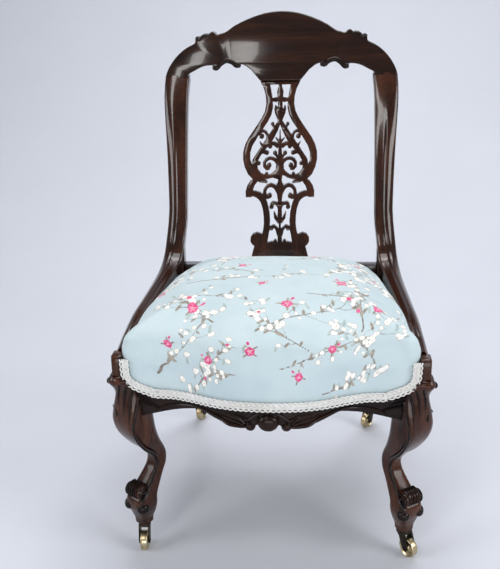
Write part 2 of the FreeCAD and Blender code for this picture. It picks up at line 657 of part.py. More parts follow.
def make_side_rail(solids_beside):
    y0, y1 = block_rear_y(), size("rear_rail_y")
    base, top = size("seat_rail_base"), size("seat_rail_top")
    x0, x1 = size("block_out") - 3, size("crest_half") * 0.985 - 2
    thick, ledge = size("rail_thick"), size("ledge_wide")
    rise = size("sweep_deep") + 20

    def outer(y):
        return x0 + (x1 - x0) * (y - y0) / (y1 - y0)

    low = [V(0, y0, base + 6), V(0, y0 + 60, base), V(0, (y0 + y1) / 2, base + 5), V(0, y1, base - 2)]
    high = ribbon_underside(6, y0, y1)
    side_view = chords(low) + [low[-1], V(0, y1, high[-1].z)] + list(reversed(high)) + [V(0, y0, high[0].z)]
    slab = prism(polygon(side_view), V(size("block_out") * 2, 0, 0))
    plan = [V(outer(y0), y0, base - 10), V(outer(y1), y1, base - 10), V(outer(y1) - thick, y1, base - 10),
            V(outer(y0) - thick, y0, base - 10)]
    facing = slab.common(prism(polygon(plan), V(0, 0, 2 * rise)))
    for solid in solids_beside:
        facing = facing.cut(solid)
    below = max(facing.Solids, key=lambda solid: solid.Volume)
    inner = [V(outer(y0) - thick, y0, base), V(outer(y1) - thick, y1, base), V(outer(y1) - thick - ledge, y1, base),
             V(outer(y0) - thick - ledge, y0, base)]
    ledge_board = prism(polygon(inner), V(0, 0, top - base))
    for solid in solids_beside:
        ledge_board = ledge_board.cut(solid)
    largest = max(ledge_board.Solids, key=lambda solid: solid.Volume)
    return below.fuse(largest).removeSplitter()


# Parametric bodies: helpers for sketches bound to the sheet


def new_body(name):
    body = doc.addObject("PartDesign::Body", name)
    return keep(body, name)


def new_sketch(body, role, name):
    sketch = body.newObject("Sketcher::SketchObject", name)
    plane = [feature for feature in body.Origin.OriginFeatures if feature.Role == role][0]
    sketch.AttachmentSupport = [(plane, "")]
    sketch.MapMode = "FlatFace"
    return sketch


def draw_polygon(sketch, corners):
    """Closed polygon; each corner is a pair of bound lengths, fixed from the sketch's origin."""
    points = [V(a.value, b.value, 0) for a, b in corners]
    count = len(points)
    first = sketch.GeometryCount
    for index in range(count):
        sketch.addGeometry(Part.LineSegment(points[index], points[(index + 1) % count]), False)
    for index in range(count):
        sketch.addConstraint(Sketcher.Constraint("Coincident", first + index, 2, first + (index + 1) % count, 1))
    for index, (a, b) in enumerate(corners):
        for kind, length in (("DistanceX", a), ("DistanceY", b)):
            number = sketch.addConstraint(Sketcher.Constraint(kind, -1, 1, first + index, 1, length.value))
            sketch.setExpression(f"Constraints[{number}]", length.text)


def even_corners(radius, count):
    angles = [2 * math.pi * (k + 0.5) / count for k in range(count)]
    return [(radius * math.cos(angle), radius * math.sin(angle)) for angle in angles]


def draw_circle(sketch, a, b, radius):
    number = sketch.addGeometry(Part.Circle(V(a.value, b.value, 0), V(0, 0, 1), radius.value), False)
    for kind, length in (("DistanceX", a), ("DistanceY", b)):
        row = sketch.addConstraint(Sketcher.Constraint(kind, -1, 1, number, 3, length.value))
        sketch.setExpression(f"Constraints[{row}]", length.text)
    row = sketch.addConstraint(Sketcher.Constraint("Radius", number, radius.value))
    sketch.setExpression(f"Constraints[{row}]", radius.text)


def pad(body, sketch, length, symmetric=False):
    feature = body.newObject("PartDesign::Pad", f"{sketch.Name}_pad")
    feature.Profile = sketch
    feature.setExpression("Length", length.text)
    feature.SideType = "Symmetric" if symmetric else "One side"
    return feature


def pocket_through(body, sketch):
    feature = body.newObject("PartDesign::Pocket", f"{sketch.Name}_pocket")
    feature.Profile = sketch
    feature.Type = "ThroughAll"
    feature.SideType = "Symmetric"
    return feature


def revolve(body, sketch, axis_name):
    feature = body.newObject("PartDesign::Revolution", f"{sketch.Name}_turned")
    feature.Profile = sketch
    feature.ReferenceAxis = (sketch, [axis_name])
    feature.Angle = 360
    return feature


ZERO = as_dim(0)


# Castors: a plate with its spike up in the foot, a horn that swivels on the plate's stud, and a wheel on an axle pin


def make_plate(name):
    """Local origin on the swivel axis at the underside of the foot."""
    body = doc.addObject("PartDesign::Body", name)
    spike, rim, stud = bound("pintle_round") / 2, bound("plate_round") / 2, bound("spigot_round") / 2
    profile = new_sketch(body, "XY_Plane", f"{name}_spike")
    draw_polygon(profile, [(spike, spike), (-spike, spike), (-spike, -spike), (spike, -spike)])
    pad(body, profile, bound("pintle_long"))
    disc = new_sketch(body, "XY_Plane", f"{name}_disc")
    draw_polygon(disc, even_corners(rim, 14))
    disc.setExpression("AttachmentOffset.Base.z", (-bound("plate_thick")).text)
    pad(body, disc, bound("plate_thick"))
    post = new_sketch(body, "XY_Plane", f"{name}_stud")
    draw_circle(post, ZERO, ZERO, stud)
    drop = bound("plate_thick") + bound("crown_thick") + bound("swivel_play")
    post.setExpression("AttachmentOffset.Base.z", (-drop).text)
    body.Tip = pad(body, post, drop)
    return body


def make_horn(name):
    """Local origin as the plate's; the horn trails towards -Y and holds the axle pin."""
    body = new_body(name)
    top = -bound("plate_thick") - bound("swivel_play")
    under = top - bound("crown_thick")
    crown, boss = bound("crown_round") / 2, bound("cheek_round") / 2
    trail = bound("horn_trail")
    axle_z = bound("wheel_round") / 2 - bound("foot_top")
    outer_wide = bound("wheel_wide") + bound("wheel_play") * 2 + bound("cheek_thick") * 2
    disc = new_sketch(body, "XY_Plane", f"{name}_crown")
    draw_polygon(disc, even_corners(crown, 12))
    pad(body, disc, bound("crown_thick"))
    disc.setExpression("AttachmentOffset.Base.z", under.text)
    side = new_sketch(body, "YZ_Plane", f"{name}_cheeks")
    draw_polygon(side, [(crown * 0.8, top), (-crown * 0.98, top), (-trail - boss * 0.95, axle_z + boss * 1.3),
                        (-trail - boss, axle_z - boss * 0.4), (-trail - boss * 0.4, axle_z - boss),
                        (-trail + boss * 0.4, axle_z - boss), (-trail + boss, axle_z - boss * 0.4),
                        (crown * 0.15, under - 6), (crown * 0.8, under)])
    pad(body, side, outer_wide, True)
    slot = new_sketch(body, "XZ_Plane", f"{name}_slot")
    half_slot = bound("wheel_wide") / 2 + bound("wheel_play")
    low = axle_z - boss * 2
    draw_polygon(slot, [(half_slot, under), (-half_slot, under), (-half_slot, low), (half_slot, low)])
    pocket_through(body, slot)
    swivel = new_sketch(body, "XY_Plane", f"{name}_swivel_bore")
    draw_circle(swivel, ZERO, ZERO, bound("spigot_round") / 2 + bound("swivel_gap"))
    pocket_through(body, swivel)
    axle = new_sketch(body, "YZ_Plane", f"{name}_axle")
    draw_circle(axle, -trail, axle_z, bound("axle_round") / 2)
    body.Tip = pad(body, axle, outer_wide, True)
    return body


def make_wheel(name):
    """Local origin at the wheel's centre, axle along X."""
    body = new_body(name)
    sketch = new_sketch(body, "XY_Plane", f"{name}_profile")
    half, tread = bound("wheel_wide") / 2, bound("wheel_round") / 2
    bore = bound("axle_round") / 2 + bound("axle_gap")
    draw_polygon(sketch, [(-half, bore), (half, bore), (half, tread), (-half, tread)])
    revolve(body, sketch, "H_Axis")
    return body


FEET = {
    "front_left": (-size("leg_x"), size("leg_y")), "front_right": (size("leg_x"), size("leg_y")),
    "rear_left": (-size("rear_foot_x"), size("rear_foot_y")), "rear_right": (size("rear_foot_x"), size("rear_foot_y")),
}


def make_castor(corner):
    """Places one castor's horn and wheel, and returns its plate for the group of plates."""
    x, y = FEET[corner]
    turn = FreeCAD.Rotation(V(0, 0, 1), size(f"swivel_{corner}"))
    foot = V(x, y, size("foot_top"))
    hub = V(x, y, size("wheel_round") / 2) + turn.multVec(V(0, -size("horn_trail"), 0))
    make_horn(f"castor_horn_{corner}").Placement = FreeCAD.Placement(foot, turn)
    make_wheel(f"castor_wheel_{corner}").Placement = FreeCAD.Placement(hub, turn)
    plate = make_plate(f"castor_plate_{corner}")
    plate.Placement.Base = foot
    return plate


# Rear rail and corner blocks


def make_rear_rail(posts, mortise):
    """Straight board between the rear legs that carries the splat and the back of the seat."""
    wide = size("crest_half") * 2
    thick, y = size("rear_rail_thick"), size("rear_rail_y")
    board = box(-wide / 2, wide / 2, y - thick / 2, y + thick / 2, size("rear_rail_base"), size("rear_rail_top"))
    for post in posts + [mortise]:
        board = board.cut(post)
    return max(board.Solids, key=lambda solid: solid.Volume)


def make_corner_block(corner_y, direction, neighbours):
    """Triangular beech block across the right inside corner of the seat frame, notched round what stands there."""
    leg, tall = size("corner_block_leg"), size("corner_block_tall")
    x, top = size("block_out") - size("rail_thick"), size("seat_rail_top") - 2
    ease = leg * 0.2
    plan = [V(x, corner_y, 0), V(x - leg - ease, corner_y, 0), V(x - leg - ease, corner_y + direction * ease, 0),
            V(x - ease, corner_y + direction * leg, 0), V(x, corner_y + direction * leg, 0)]
    block = prism(polygon(plan), V(0, 0, tall))
    block.translate(V(0, 0, top - tall))
    for neighbour in neighbours:
        block = block.cut(neighbour)
    return max(block.Solids, key=lambda solid: solid.Volume)


# Seat: webbing, hessian, stuffing, cover and braid


def seat_plan():
    """Right half of the seat's plan outside the cover: (x, y) from the front middle round to the back middle."""
    block_in, gap = size("block_out") - size("block_wide"), size("soft_gap")
    points = []
    for y, z, out, wide, depth in RIBBON_ALONG:
        width = size("sweep_wide") + (size("upright_waist") - size("sweep_wide")) * wide
        points.append((out * size("block_out") - width - 2 * gap, y))
    side = [point for point in points if block_rear_y() + 20 < point[1] < size("rear_rail_y") - 50]
    back = size("rear_rail_y") - size("rear_rail_thick") / 2 - 2 * gap
    post_in = size("crest_half") * 0.985 - size("upright_waist") / 2 - size("rear_leg_wide") / 2 - 4 * gap
    return block_in - gap, list(reversed(side)), post_in, back


def seat_outline():
    """Closed outline of the seat in plan, as short steps."""
    block_in, side, post_in, back = seat_plan()
    half = [(share * size("block_out"), size("front_y") + size("serpentine") * bow) for share, bow in SERPENTINE_PLAN[:-1]]
    front = [V(-x, y, 0) for x, y in reversed(half[1:])] + [V(x, y, 0) for x, y in half]
    corner_y = half[-1][1]
    rear_side = [V(post_in, back - 14, 0), V(post_in - 4, back - 4, 0), V(post_in - 14, back, 0)]
    right = [V(block_in - 5, corner_y + 4, 0), V(block_in, corner_y + 16, 0), V(block_in - 1, block_rear_y(), 0)]
    right += [V(x, y, 0) for x, y in side] + rear_side
    left = [V(-point.x, point.y, 0) for point in reversed(right)]
    return chords(front) + [front[-1]] + right + left


SEAT_OUTLINE = seat_outline()


def seat_ring(inset, z):
    """The seat's outline at one height, drawn in evenly by the inset."""
    middle_y = size("front_y") * 0.1
    reach = 1 - inset / (size("block_out") - size("block_wide"))
    return [V(point.x * reach, middle_y + (point.y - middle_y) * reach, z) for point in SEAT_OUTLINE]


CROWN_STEPS = 4


def make_dome(inset, base_z):
    """Stuffed-over seat form: sides that swell a little, then a crown that flattens towards the top."""
    crown, edge = size("seat_crown") - inset, size("seat_edge")
    rings = [seat_ring(inset + 1.5, base_z), seat_ring(inset, (base_z + edge) / 2)]
    for step in range(CROWN_STEPS):
        angle = math.pi / 2 * step / (CROWN_STEPS - 0.55)
        rise = math.sin(angle) ** 0.8
        draw_in = (1 - math.cos(angle) ** 0.7) * size("block_out") * 0.8
        rings.append(seat_ring(inset + 1 + draw_in, edge + (crown - edge) * rise))
    faces = [Part.Face(polygon(rings[0])), Part.Face(polygon(rings[-1]))]
    for lower, upper in zip(rings, rings[1:]):
        for index in range(len(lower)):
            corners = [lower[index - 1], lower[index], upper[index], upper[index - 1]]
            faces.append(Part.Face(polygon(corners)))
    solid = Part.Solid(Part.makeShell(faces))
    solid.fixTolerance(1e-5)
    return solid if solid.Volume > 0 else solid.reversed()


def make_cover():
    base = size("seat_rail_top") + 2 * size("web_thick") + size("hessian_thick")
    thick = size("cover_thick")
    shell = make_dome(0, base).cut(make_dome(thick, base))
    skirt = serpentine_band(0, thick, size("show_line"), base)
    hidden_front = upholstered_front(size("block_out"), size("soft_gap"))
    skirt = skirt.common(front_view_prism(hidden_front, 2 * size("front_y"), 0))
    return shell.fuse(skirt)


def make_braid():
    """Looped gimp laid on the cover just above the show-wood line, from block to block."""
    thick, wide = size("braid_thick"), size("braid_wide")
    gap = size("soft_gap")
    band = serpentine_band(-thick, 0, size("show_line"), size("seat_rail_top"))
    outer = front_view_prism(upholstered_front(size("block_out"), 2 * gap), 2 * size("front_y"), 0)
    inner = outer.copy()
    inner.translate(V(0, 0, wide))
    return band.common(outer).cut(inner)


def make_straps(name, along_x, count, z):
    """Webbing straps side by side, tacked at both ends to the tops of the rails."""
    block_in, side, post_in, back = seat_plan()
    thick, wide = size("web_thick"), size("web_wide")
    front = size("front_y") + size("serpentine") + size("rebate") + 4
    straps = []
    for index in range(count):
        strap = doc.addObject("Part::Box", f"{name}_{index + 1}")
        strap.setExpression("Height", "Sizes.web_thick")
        if along_x:
            y = front + (back - front) * (index + 0.5) / count
            half = blend([(front, block_in - 8), (back, post_in - 2)], y)
            strap.Length = 2 * half
            strap.setExpression("Width", "Sizes.web_wide")
            strap.Placement.Base = V(-half, y - wide / 2, z)
        else:
            x = (index - (count - 1) / 2) * post_in * 2 / (count + 0.3)
            strap.setExpression("Length", "Sizes.web_wide")
            strap.Width = back - front
            strap.Placement.Base = V(x - wide / 2, front, z)
        straps.append(strap)
    group = doc.addObject("Part::Compound", name)
    group.Links = straps
    return keep(group, name)


def flat_cloth(z, thick, inset):
    return Part.Face(polygon(seat_ring(inset, z))).extrude(V(0, 0, thick))


# Assembly

snug = size("glue_gap")
post_right = make_back_post()
sweep_right = make_sweep(post_right)
leg_right = make_front_leg().cut(sweep_right)
side_right = make_side_rail([sweep_right, post_right, leg_right])
leg_left, sweep_left, post_left = mirrored(leg_right), mirrored(sweep_right), mirrored(post_right)
side_left = mirrored(side_right)
front_rail = make_front_rail([leg_right, leg_left])
rear_rail = make_rear_rail([post_right, post_left], splat_tenon(False, snug))
crest = make_crest().cut(post_right).cut(post_left)
splat = make_splat()

front_corner_y = size("front_y") + size("serpentine") + size("front_rail_thick") - 6
rear_corner_y = size("rear_rail_y") - size("rear_rail_thick") / 2
blocks = [make_corner_block(front_corner_y, 1, [leg_right, front_rail, side_right, sweep_right]),
          make_corner_block(rear_corner_y, -1, [post_right, rear_rail, side_right, sweep_right])]
blocks += [mirrored(block) for block in blocks]

keep_shape("crest_rail", crest)
keep_shape("fret_splat", splat)
keep_shape("back_post_left", post_left)
keep_shape("back_post_right", post_right)
keep_shape("sweep_left", sweep_left)
keep_shape("sweep_right", sweep_right)
keep_shape("front_leg_left", leg_left)
keep_shape("front_leg_right", leg_right)
keep_shape("front_rail", front_rail)
keep_shape("side_rail_left", side_left)
keep_shape("side_rail_right", side_right)
keep_shape("rear_rail", rear_rail)
keep_shape("corner_blocks", Part.makeCompound(blocks))

plates = doc.addObject("Part::Compound", "castor_plates")
plates.Links = [make_castor(corner_name) for corner_name in FEET]
keep(plates, "castor_plates")

web_base = size("seat_rail_top")
make_straps("webbing_front_to_back", False, 5, web_base)
make_straps("webbing_side_to_side", True, 5, web_base + size("web_thick"))
hessian_base = web_base + 2 * size("web_thick")
keep_shape("seat_hessian", flat_cloth(hessian_base, size("hessian_thick"), size("cover_thick") + 1))
stuffing_base = hessian_base + size("hessian_thick")
stuffing = make_dome(size("cover_thick") + size("soft_gap"), stuffing_base)
keep_shape("seat_stuffing", stuffing)
keep_shape("seat_cover", make_cover())
keep_shape("seat_braid", make_braid())

doc.recompute()

failed = [obj.Name for obj in doc.Objects if "Invalid" in obj.State or "Error" in obj.State]
if failed:
    raise RuntimeError(f"failed objects: {failed}")

# The origin is set under the middle of the chair's plan
everything = Part.makeCompound([obj.Shape for obj in nodes.values()])
plan = everything.BoundBox
middle = V(0, -(plan.YMin + plan.YMax) / 2, 0)
for obj in nodes.values():
    obj.Placement = FreeCAD.Placement(obj.Placement.Base + middle, obj.Placement.Rotation)

os.makedirs("parts", exist_ok=True)
for name, obj in nodes.items():
    shape = obj.Shape
    if shape.isNull() or not shape.isValid():
        raise RuntimeError(f"{name} isn't a valid shape")
    shape.exportStep(f"parts/{name}.step")
    print(name, len(shape.Solids), "solids", round(shape.Volume / 1000, 2), "cm3")
print("moved in Y by", round(middle.y, 4))
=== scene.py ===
import math
import random
from contextlib import contextmanager

import bmesh
import bpy
import numpy as np
from mathutils import Matrix, Vector


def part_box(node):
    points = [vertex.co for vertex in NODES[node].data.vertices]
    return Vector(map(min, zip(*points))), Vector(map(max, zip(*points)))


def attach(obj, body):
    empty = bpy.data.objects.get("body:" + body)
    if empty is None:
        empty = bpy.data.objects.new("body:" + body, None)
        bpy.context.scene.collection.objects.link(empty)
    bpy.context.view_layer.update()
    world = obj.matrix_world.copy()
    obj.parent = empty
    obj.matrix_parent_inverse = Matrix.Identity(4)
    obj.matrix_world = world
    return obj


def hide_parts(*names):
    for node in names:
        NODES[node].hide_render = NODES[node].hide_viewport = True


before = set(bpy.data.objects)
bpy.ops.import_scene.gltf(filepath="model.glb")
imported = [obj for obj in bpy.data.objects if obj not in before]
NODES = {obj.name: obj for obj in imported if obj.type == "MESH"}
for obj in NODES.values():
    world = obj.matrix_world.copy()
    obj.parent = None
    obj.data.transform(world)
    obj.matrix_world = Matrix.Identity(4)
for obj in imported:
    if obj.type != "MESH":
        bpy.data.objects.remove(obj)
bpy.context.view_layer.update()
random.seed(7)

# The source's lengths are in millimetres, with Y measured before the model was centred on the floor
SHIFT = -58.4688
SIDES = (("left", -1), ("right", 1))
HIGH = Vector((0, 0, 1))


def at(x, y, z):
    return Vector((x / 1000, (y + SHIFT) / 1000, z / 1000))


# Mesh helpers


def smooth(rows, steps):
    """Catmull-Rom reading of equal-length rows at even steps, ends included."""
    out = []
    last = len(rows) - 1
    for index in range(steps + 1):
        t = last * index / steps
        k = min(int(t), last - 1)
        u = t - k
        p0, p1, p2, p3 = rows[max(k - 1, 0)], rows[k], rows[k + 1], rows[min(k + 2, last)]
        out.append(tuple(0.5 * (2 * b + (c - a) * u + (2 * a - 5 * b + 4 * c - d) * u ** 2
                                + (3 * b - a - 3 * c + d) * u ** 3) for a, b, c, d in zip(p0, p1, p2, p3)))
    return out


def mesh_object(name, verts, faces):
    mesh = bpy.data.meshes.new(name)
    mesh.from_pydata([tuple(v) for v in verts], [], faces)
    mesh.validate()
    obj = bpy.data.objects.new(name, mesh)
    bpy.context.scene.collection.objects.link(obj)
    return obj


@contextmanager
def edited(mesh):
    """The mesh as a bmesh, written back at the end."""
    bm = bmesh.new()
    bm.from_mesh(mesh)
    yield bm
    bm.to_mesh(mesh)
    bm.free()


def circle(count):
    return [2 * math.pi * k / count for k in range(count)]


def turned(first, second, angle):
    """A direction between two others, at an angle from the first."""
    return first * math.cos(angle) + second * math.sin(angle)


class Builder:
    """Collects closed shells for one mesh object."""

    def __init__(self):
        self.verts, self.faces = [], []

    def rings(self, rings, cap_start=True, cap_end=True):
        base, count = len(self.verts), len(rings[0])
        for ring in rings:
            self.verts.extend(ring)
        for r in range(len(rings) - 1):
            a, b = base + r * count, base + (r + 1) * count
            for i in range(count):
                j = (i + 1) % count
                self.faces.append((a + i, a + j, b + j, b + i))
        if cap_start:
            self.faces.append(tuple(base + i for i in reversed(range(count))))
        if cap_end:
            self.faces.append(tuple(base + (len(rings) - 1) * count + i for i in range(count)))

    def tube(self, path, radius, sides=10, up=None):
        """A rounded cord along a path; radius is a number or a function of the share of the path."""
        path = [Vector(p) for p in path]
        normal = Vector(up) if up else None
        rings = []
        last = len(path) - 1
        for i, p in enumerate(path):
            ahead = (path[min(i + 1, last)] - path[max(i - 1, 0)]).normalized()
            if normal is None:
                normal = ahead.orthogonal()
            side = ahead.cross(normal).normalized()
            normal = side.cross(ahead).normalized()
            r = radius(i / last) if callable(radius) else radius
            rings.append([p + turned(side, normal, a) * r for a in circle(sides)])
        self.rings(rings)

    def dome(self, centre, normal, across, wide, tall, proud, rings=7, sides=28):
        """Half an egg on a surface: wide along across, tall square to it."""
        centre, normal, across = Vector(centre), Vector(normal).normalized(), Vector(across).normalized()
        up = normal.cross(across).normalized()
        rows = [[centre - normal * 0.004 + turned(across * wide, up * tall, a) for a in circle(sides)]]
        for r in range(rings):
            t = math.pi / 2 * r / rings
            rows.append([centre + normal * proud * math.sin(t) + turned(across * wide, up * tall, a) * math.cos(t)
                         for a in circle(sides)])
        self.rings(rows)

    def make(self, name, material, body="frame", slot=None, replaces=(), angle=40):
        obj = mesh_object(name, self.verts, self.faces)
        with edited(obj.data) as bm:
            bmesh.ops.recalc_face_normals(bm, faces=bm.faces)
        return dress(obj, material, body, replaces, angle)


def dress(obj, material, body, replaces=(), angle=40):
    """Shading, material, and the body that carries the piece; hides the CAD parts it replaces."""
    smooth_shade(obj, angle)
    obj.data.materials.clear()
    obj.data.materials.append(material)
    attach(obj, body)
    if replaces:
        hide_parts(*replaces)
    return obj


def apply(obj):
    """Writes the result of all modifiers into the mesh."""
    bpy.context.view_layer.update()
    graph = bpy.context.evaluated_depsgraph_get()
    mesh = bpy.data.meshes.new_from_object(obj.evaluated_get(graph))
    obj.modifiers.clear()
    obj.data = mesh


def smooth_shade(obj, angle):
    """Smooth faces that meet at a sharp edge only above an angle in degrees."""
    mesh = obj.data
    mesh.polygons.foreach_set("use_smooth", [True] * len(mesh.polygons))
    limit = math.radians(angle)
    with edited(mesh) as bm:
        for edge in bm.edges:
            edge.smooth = len(edge.link_faces) != 2 or edge.calc_face_angle(0.0) < limit


def eased(node, name, width, material, body="frame", segments=2, angle=32, shade=40):
    """A copy of a CAD node with its sharp edges rounded over, standing for the node."""
    obj = NODES[node].copy()
    obj.data = NODES[node].data.copy()
    for key in list(obj.keys()):
        if key.startswith("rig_"):
            del obj[key]
    obj.parent = None
    obj.name = name
    bpy.context.scene.collection.objects.link(obj)
    with edited(obj.data) as bm:
        bmesh.ops.remove_doubles(bm, verts=bm.verts, dist=2e-6)
        bmesh.ops.dissolve_limit(bm, angle_limit=math.radians(0.6), verts=bm.verts, edges=bm.edges)
        edges = [e for e in bm.edges if len(e.link_faces) == 2 and e.calc_face_angle(0.0) > math.radians(angle)]
        bmesh.ops.bevel(bm, geom=edges, offset=width, segments=segments, profile=0.5, affect="EDGES",
                        clamp_overlap=False, miter_outer="SHARP", miter_inner="SHARP")
        bmesh.ops.triangulate(bm, faces=[f for f in bm.faces if len(f.verts) > 4])
    obj.data.validate()
    return dress(obj, material, body, (node,), shade)


# Materials


class Graph:
    """Short hand for building a node tree."""

    def __init__(self, tree):
        self.tree = tree

    def node(self, kind, **values):
        """A new node; a value whose name starts with in_ goes to an input, the rest are settings."""
        made = self.tree.nodes.new(kind)
        for key, value in values.items():
            if key.startswith("in_"):
                made.inputs[key[3:].replace("_", " ")].default_value = value
            else:
                setattr(made, key, value)
        return made

    def give(self, socket, value):
        """Links a socket to an output, or sets it."""
        if isinstance(value, bpy.types.NodeSocket):
            self.tree.links.new(value, socket)
        else:
            socket.default_value = (*value, 1) if isinstance(value, tuple) else value

    def math(self, kind, *values):
        made = self.node("ShaderNodeMath", operation=kind)
        for socket, value in zip(made.inputs, values):
            self.give(socket, value)
        return made.outputs[0]


class Surface(Graph):
    """The node tree of a new material."""

    def __init__(self, name):
        self.material = bpy.data.materials.new(name)
        self.material.use_nodes = True
        super().__init__(self.material.node_tree)
        self.shader = self.tree.nodes["Principled BSDF"]

    def coords(self, scale=(1, 1, 1), turn=(0, 0, 0)):
        mapping = self.node("ShaderNodeMapping", in_Scale=scale, in_Rotation=turn)
        self.give(mapping.inputs["Vector"], self.node("ShaderNodeTexCoord").outputs["Object"])
        return mapping.outputs["Vector"]

    def split(self, vector):
        made = self.node("ShaderNodeSeparateXYZ")
        self.give(made.inputs[0], vector)
        return made.outputs

    def noise(self, vector, scale, detail=4, rough=0.55, distortion=0.0):
        made = self.node("ShaderNodeTexNoise", in_Scale=scale, in_Detail=detail, in_Roughness=rough,
                         in_Distortion=distortion)
        self.give(made.inputs["Vector"], vector)
        return made.outputs["Fac"]

    def ramp(self, fac, *stops):
        made = self.node("ShaderNodeValToRGB")
        elements = made.color_ramp.elements
        while len(elements) < len(stops):
            elements.new(0.5)
        for element, (place, colour) in zip(elements, stops):
            element.position = place
            element.color = (*colour, 1)
        self.give(made.inputs["Fac"], fac)
        return made.outputs["Color"]

    def mix(self, fac, first, second, kind="MIX"):
        made = self.node("ShaderNodeMix", data_type="RGBA", blend_type=kind)
        for index, value in ((0, fac), (6, first), (7, second)):
            self.give(made.inputs[index], value)
        return made.outputs[2]

    def shade(self, share, colour, fac, low, dark, high):
        """Multiplies a colour down to a dark tone where fac is low."""
        return self.mix(share, colour, self.ramp(fac, (low, dark), (high, (1, 1, 1))), "MULTIPLY")

    def bump(self, height, strength, distance):
        made = self.node("ShaderNodeBump", in_Strength=strength, in_Distance=distance)
        self.give(made.inputs["Height"], height)
        self.give(self.shader.inputs["Normal"], made.outputs["Normal"])

    def set(self, **values):
        for key, value in values.items():
            self.give(self.shader.inputs[key.replace("_", " ")], value)


def stretched(along, share):
    """Scale that draws a texture out along one axis."""
    return tuple(share if axis == along else 1.0 for axis in "xyz")


def mahogany(name, along, dark=1.0, gloss=1.0):
    """Polished red-brown mahogany with its grain along one axis, with painted shade darkening its recesses."""
    g = Surface(name)
    vector = g.coords(stretched(along, 0.07))
    broad = g.noise(vector, 22, 3, 0.5, 0.8)
    fine = g.noise(vector, 260, 5, 0.65, 0.3)
    pores = g.noise(vector, 900, 2, 0.5)
    patch = g.noise(g.coords(), 6, 2, 0.5)
    grain = g.math("ADD", g.math("MULTIPLY", broad, 0.62), g.math("MULTIPLY", fine, 0.38))
    tones = ((0.33, (0.020, 0.0062, 0.0036)), (0.47, (0.052, 0.0165, 0.0082)), (0.58, (0.105, 0.034, 0.0155)),
             (0.70, (0.165, 0.060, 0.027)))
    colour = g.ramp(grain, *((place, tuple(c * dark for c in tone)) for place, tone in tones))
    colour = g.shade(0.8, colour, patch, 0.35, (0.62, 0.55, 0.55), 0.65)
    colour = g.shade(0.45, colour, pores, 0.30, (0.45, 0.4, 0.4), 0.42)
    # painted shade: ambient occlusion darkens the colour nearly to black in recesses and carving, where shade falls
    painted_recess_shade = g.node("ShaderNodeAmbientOcclusion", in_Distance=0.012, samples=8)
    colour = g.shade(1.0, colour, painted_recess_shade.outputs["AO"], 0.30, (0.10, 0.08, 0.08), 0.78)
    rough = g.ramp(fine, (0.3, (0.19 / gloss,) * 3), (0.7, (0.12 / gloss,) * 3))
    g.set(Base_Color=colour, Roughness=rough, Coat_Weight=0.35 * gloss, Coat_Roughness=0.04,
          Specular_IOR_Level=0.28 * gloss)
    g.bump(g.math("ADD", g.math("MULTIPLY", pores, 0.4), fine), 0.05, 0.0006)
    return g.material


def plain_wood(name, along):
    g = Surface(name)
    vector = g.coords(stretched(along, 0.06))
    broad = g.noise(vector, 30, 3, 0.5, 0.6)
    fine = g.noise(vector, 400, 4, 0.6)
    colour = g.ramp(broad, (0.3, (0.30, 0.19, 0.10)), (0.55, (0.42, 0.28, 0.155)), (0.75, (0.50, 0.35, 0.20)))
    g.set(Base_Color=g.shade(0.35, colour, fine, 0.35, (0.6, 0.5, 0.4), 0.6), Roughness=0.68)
    g.bump(fine, 0.3, 0.0008)
    return g.material


def metal(name, tones, metallic, rough, scale):
    g = Surface(name)
    vector = g.coords()
    worn = g.noise(vector, scale, 5, 0.65, 0.4)
    specks = g.noise(vector, scale * 9, 3, 0.6)
    colour = g.ramp(worn, *zip((0.30, 0.50, 0.70), tones))
    g.set(Base_Color=g.shade(0.4, colour, specks, 0.35, (0.45, 0.4, 0.35), 0.55), Metallic=metallic,
          Roughness=g.ramp(worn, (0.3, (rough[0],) * 3), (0.7, (rough[1],) * 3)))
    g.bump(specks, 0.12, 0.0006)
    return g.material


def woven(name, tones, pitch, depth, rough=0.85, turn=0.0):
    """Plain weave: threads over and under each other, seen from above, with painted shade between the threads."""
    g = Surface(name)
    vector = g.coords(turn=(0, 0, turn))
    warp, weft = (g.math("SINE", g.math("MULTIPLY", axis, 2 * math.pi / pitch)) for axis in g.split(vector)[:2])
    over = g.math("MULTIPLY", warp, weft)
    ridges = g.math("ADD", g.math("ABSOLUTE", warp), g.math("ABSOLUTE", weft))
    height = g.math("ADD", g.math("MULTIPLY", over, 0.5), ridges)
    slub = g.noise(vector, 130, 4, 0.6)
    fade = g.noise(vector, 14, 3, 0.5)
    # painted shade: the colour follows the weave's height, darker between the threads and lighter on their crowns,
    # mixed with random slub tone
    level = g.math("ADD", g.math("MULTIPLY", height, 0.22), g.math("MULTIPLY", slub, 0.6))
    colour = g.ramp(level, *zip((0.25, 0.55, 0.85), tones))
    g.set(Base_Color=g.shade(0.4, colour, fade, 0.3, (0.75, 0.72, 0.68), 0.7), Roughness=rough, Sheen_Weight=0.3)
    g.bump(height, depth, 0.0006)
    return g.material


# Layers of the print from the ground up: noise scale, then the darker and the lighter tone
PRINT_LAYERS = {
    "shadow_leaf": (120, (0.33, 0.43, 0.43), (0.46, 0.54, 0.52)),
    "twig": (160, (0.155, 0.125, 0.110), (0.32, 0.27, 0.235)),
    "leaf": (140, (0.24, 0.215, 0.185), (0.42, 0.38, 0.32)),
    "rim": (200, (0.40, 0.36, 0.33), (0.56, 0.52, 0.48)),
    "bloom": (180, (0.86, 0.84, 0.78), (0.96, 0.95, 0.92)),
    "pink": (150, (0.62, 0.035, 0.17), (0.80, 0.13, 0.33)),
    "blush": (170, (0.80, 0.30, 0.42), (0.90, 0.52, 0.60)),
    "heart": (200, (0.30, 0.20, 0.10), (0.50, 0.36, 0.18)),
}
PRINT_SOFT = 0.35
THREAD = 0.0008


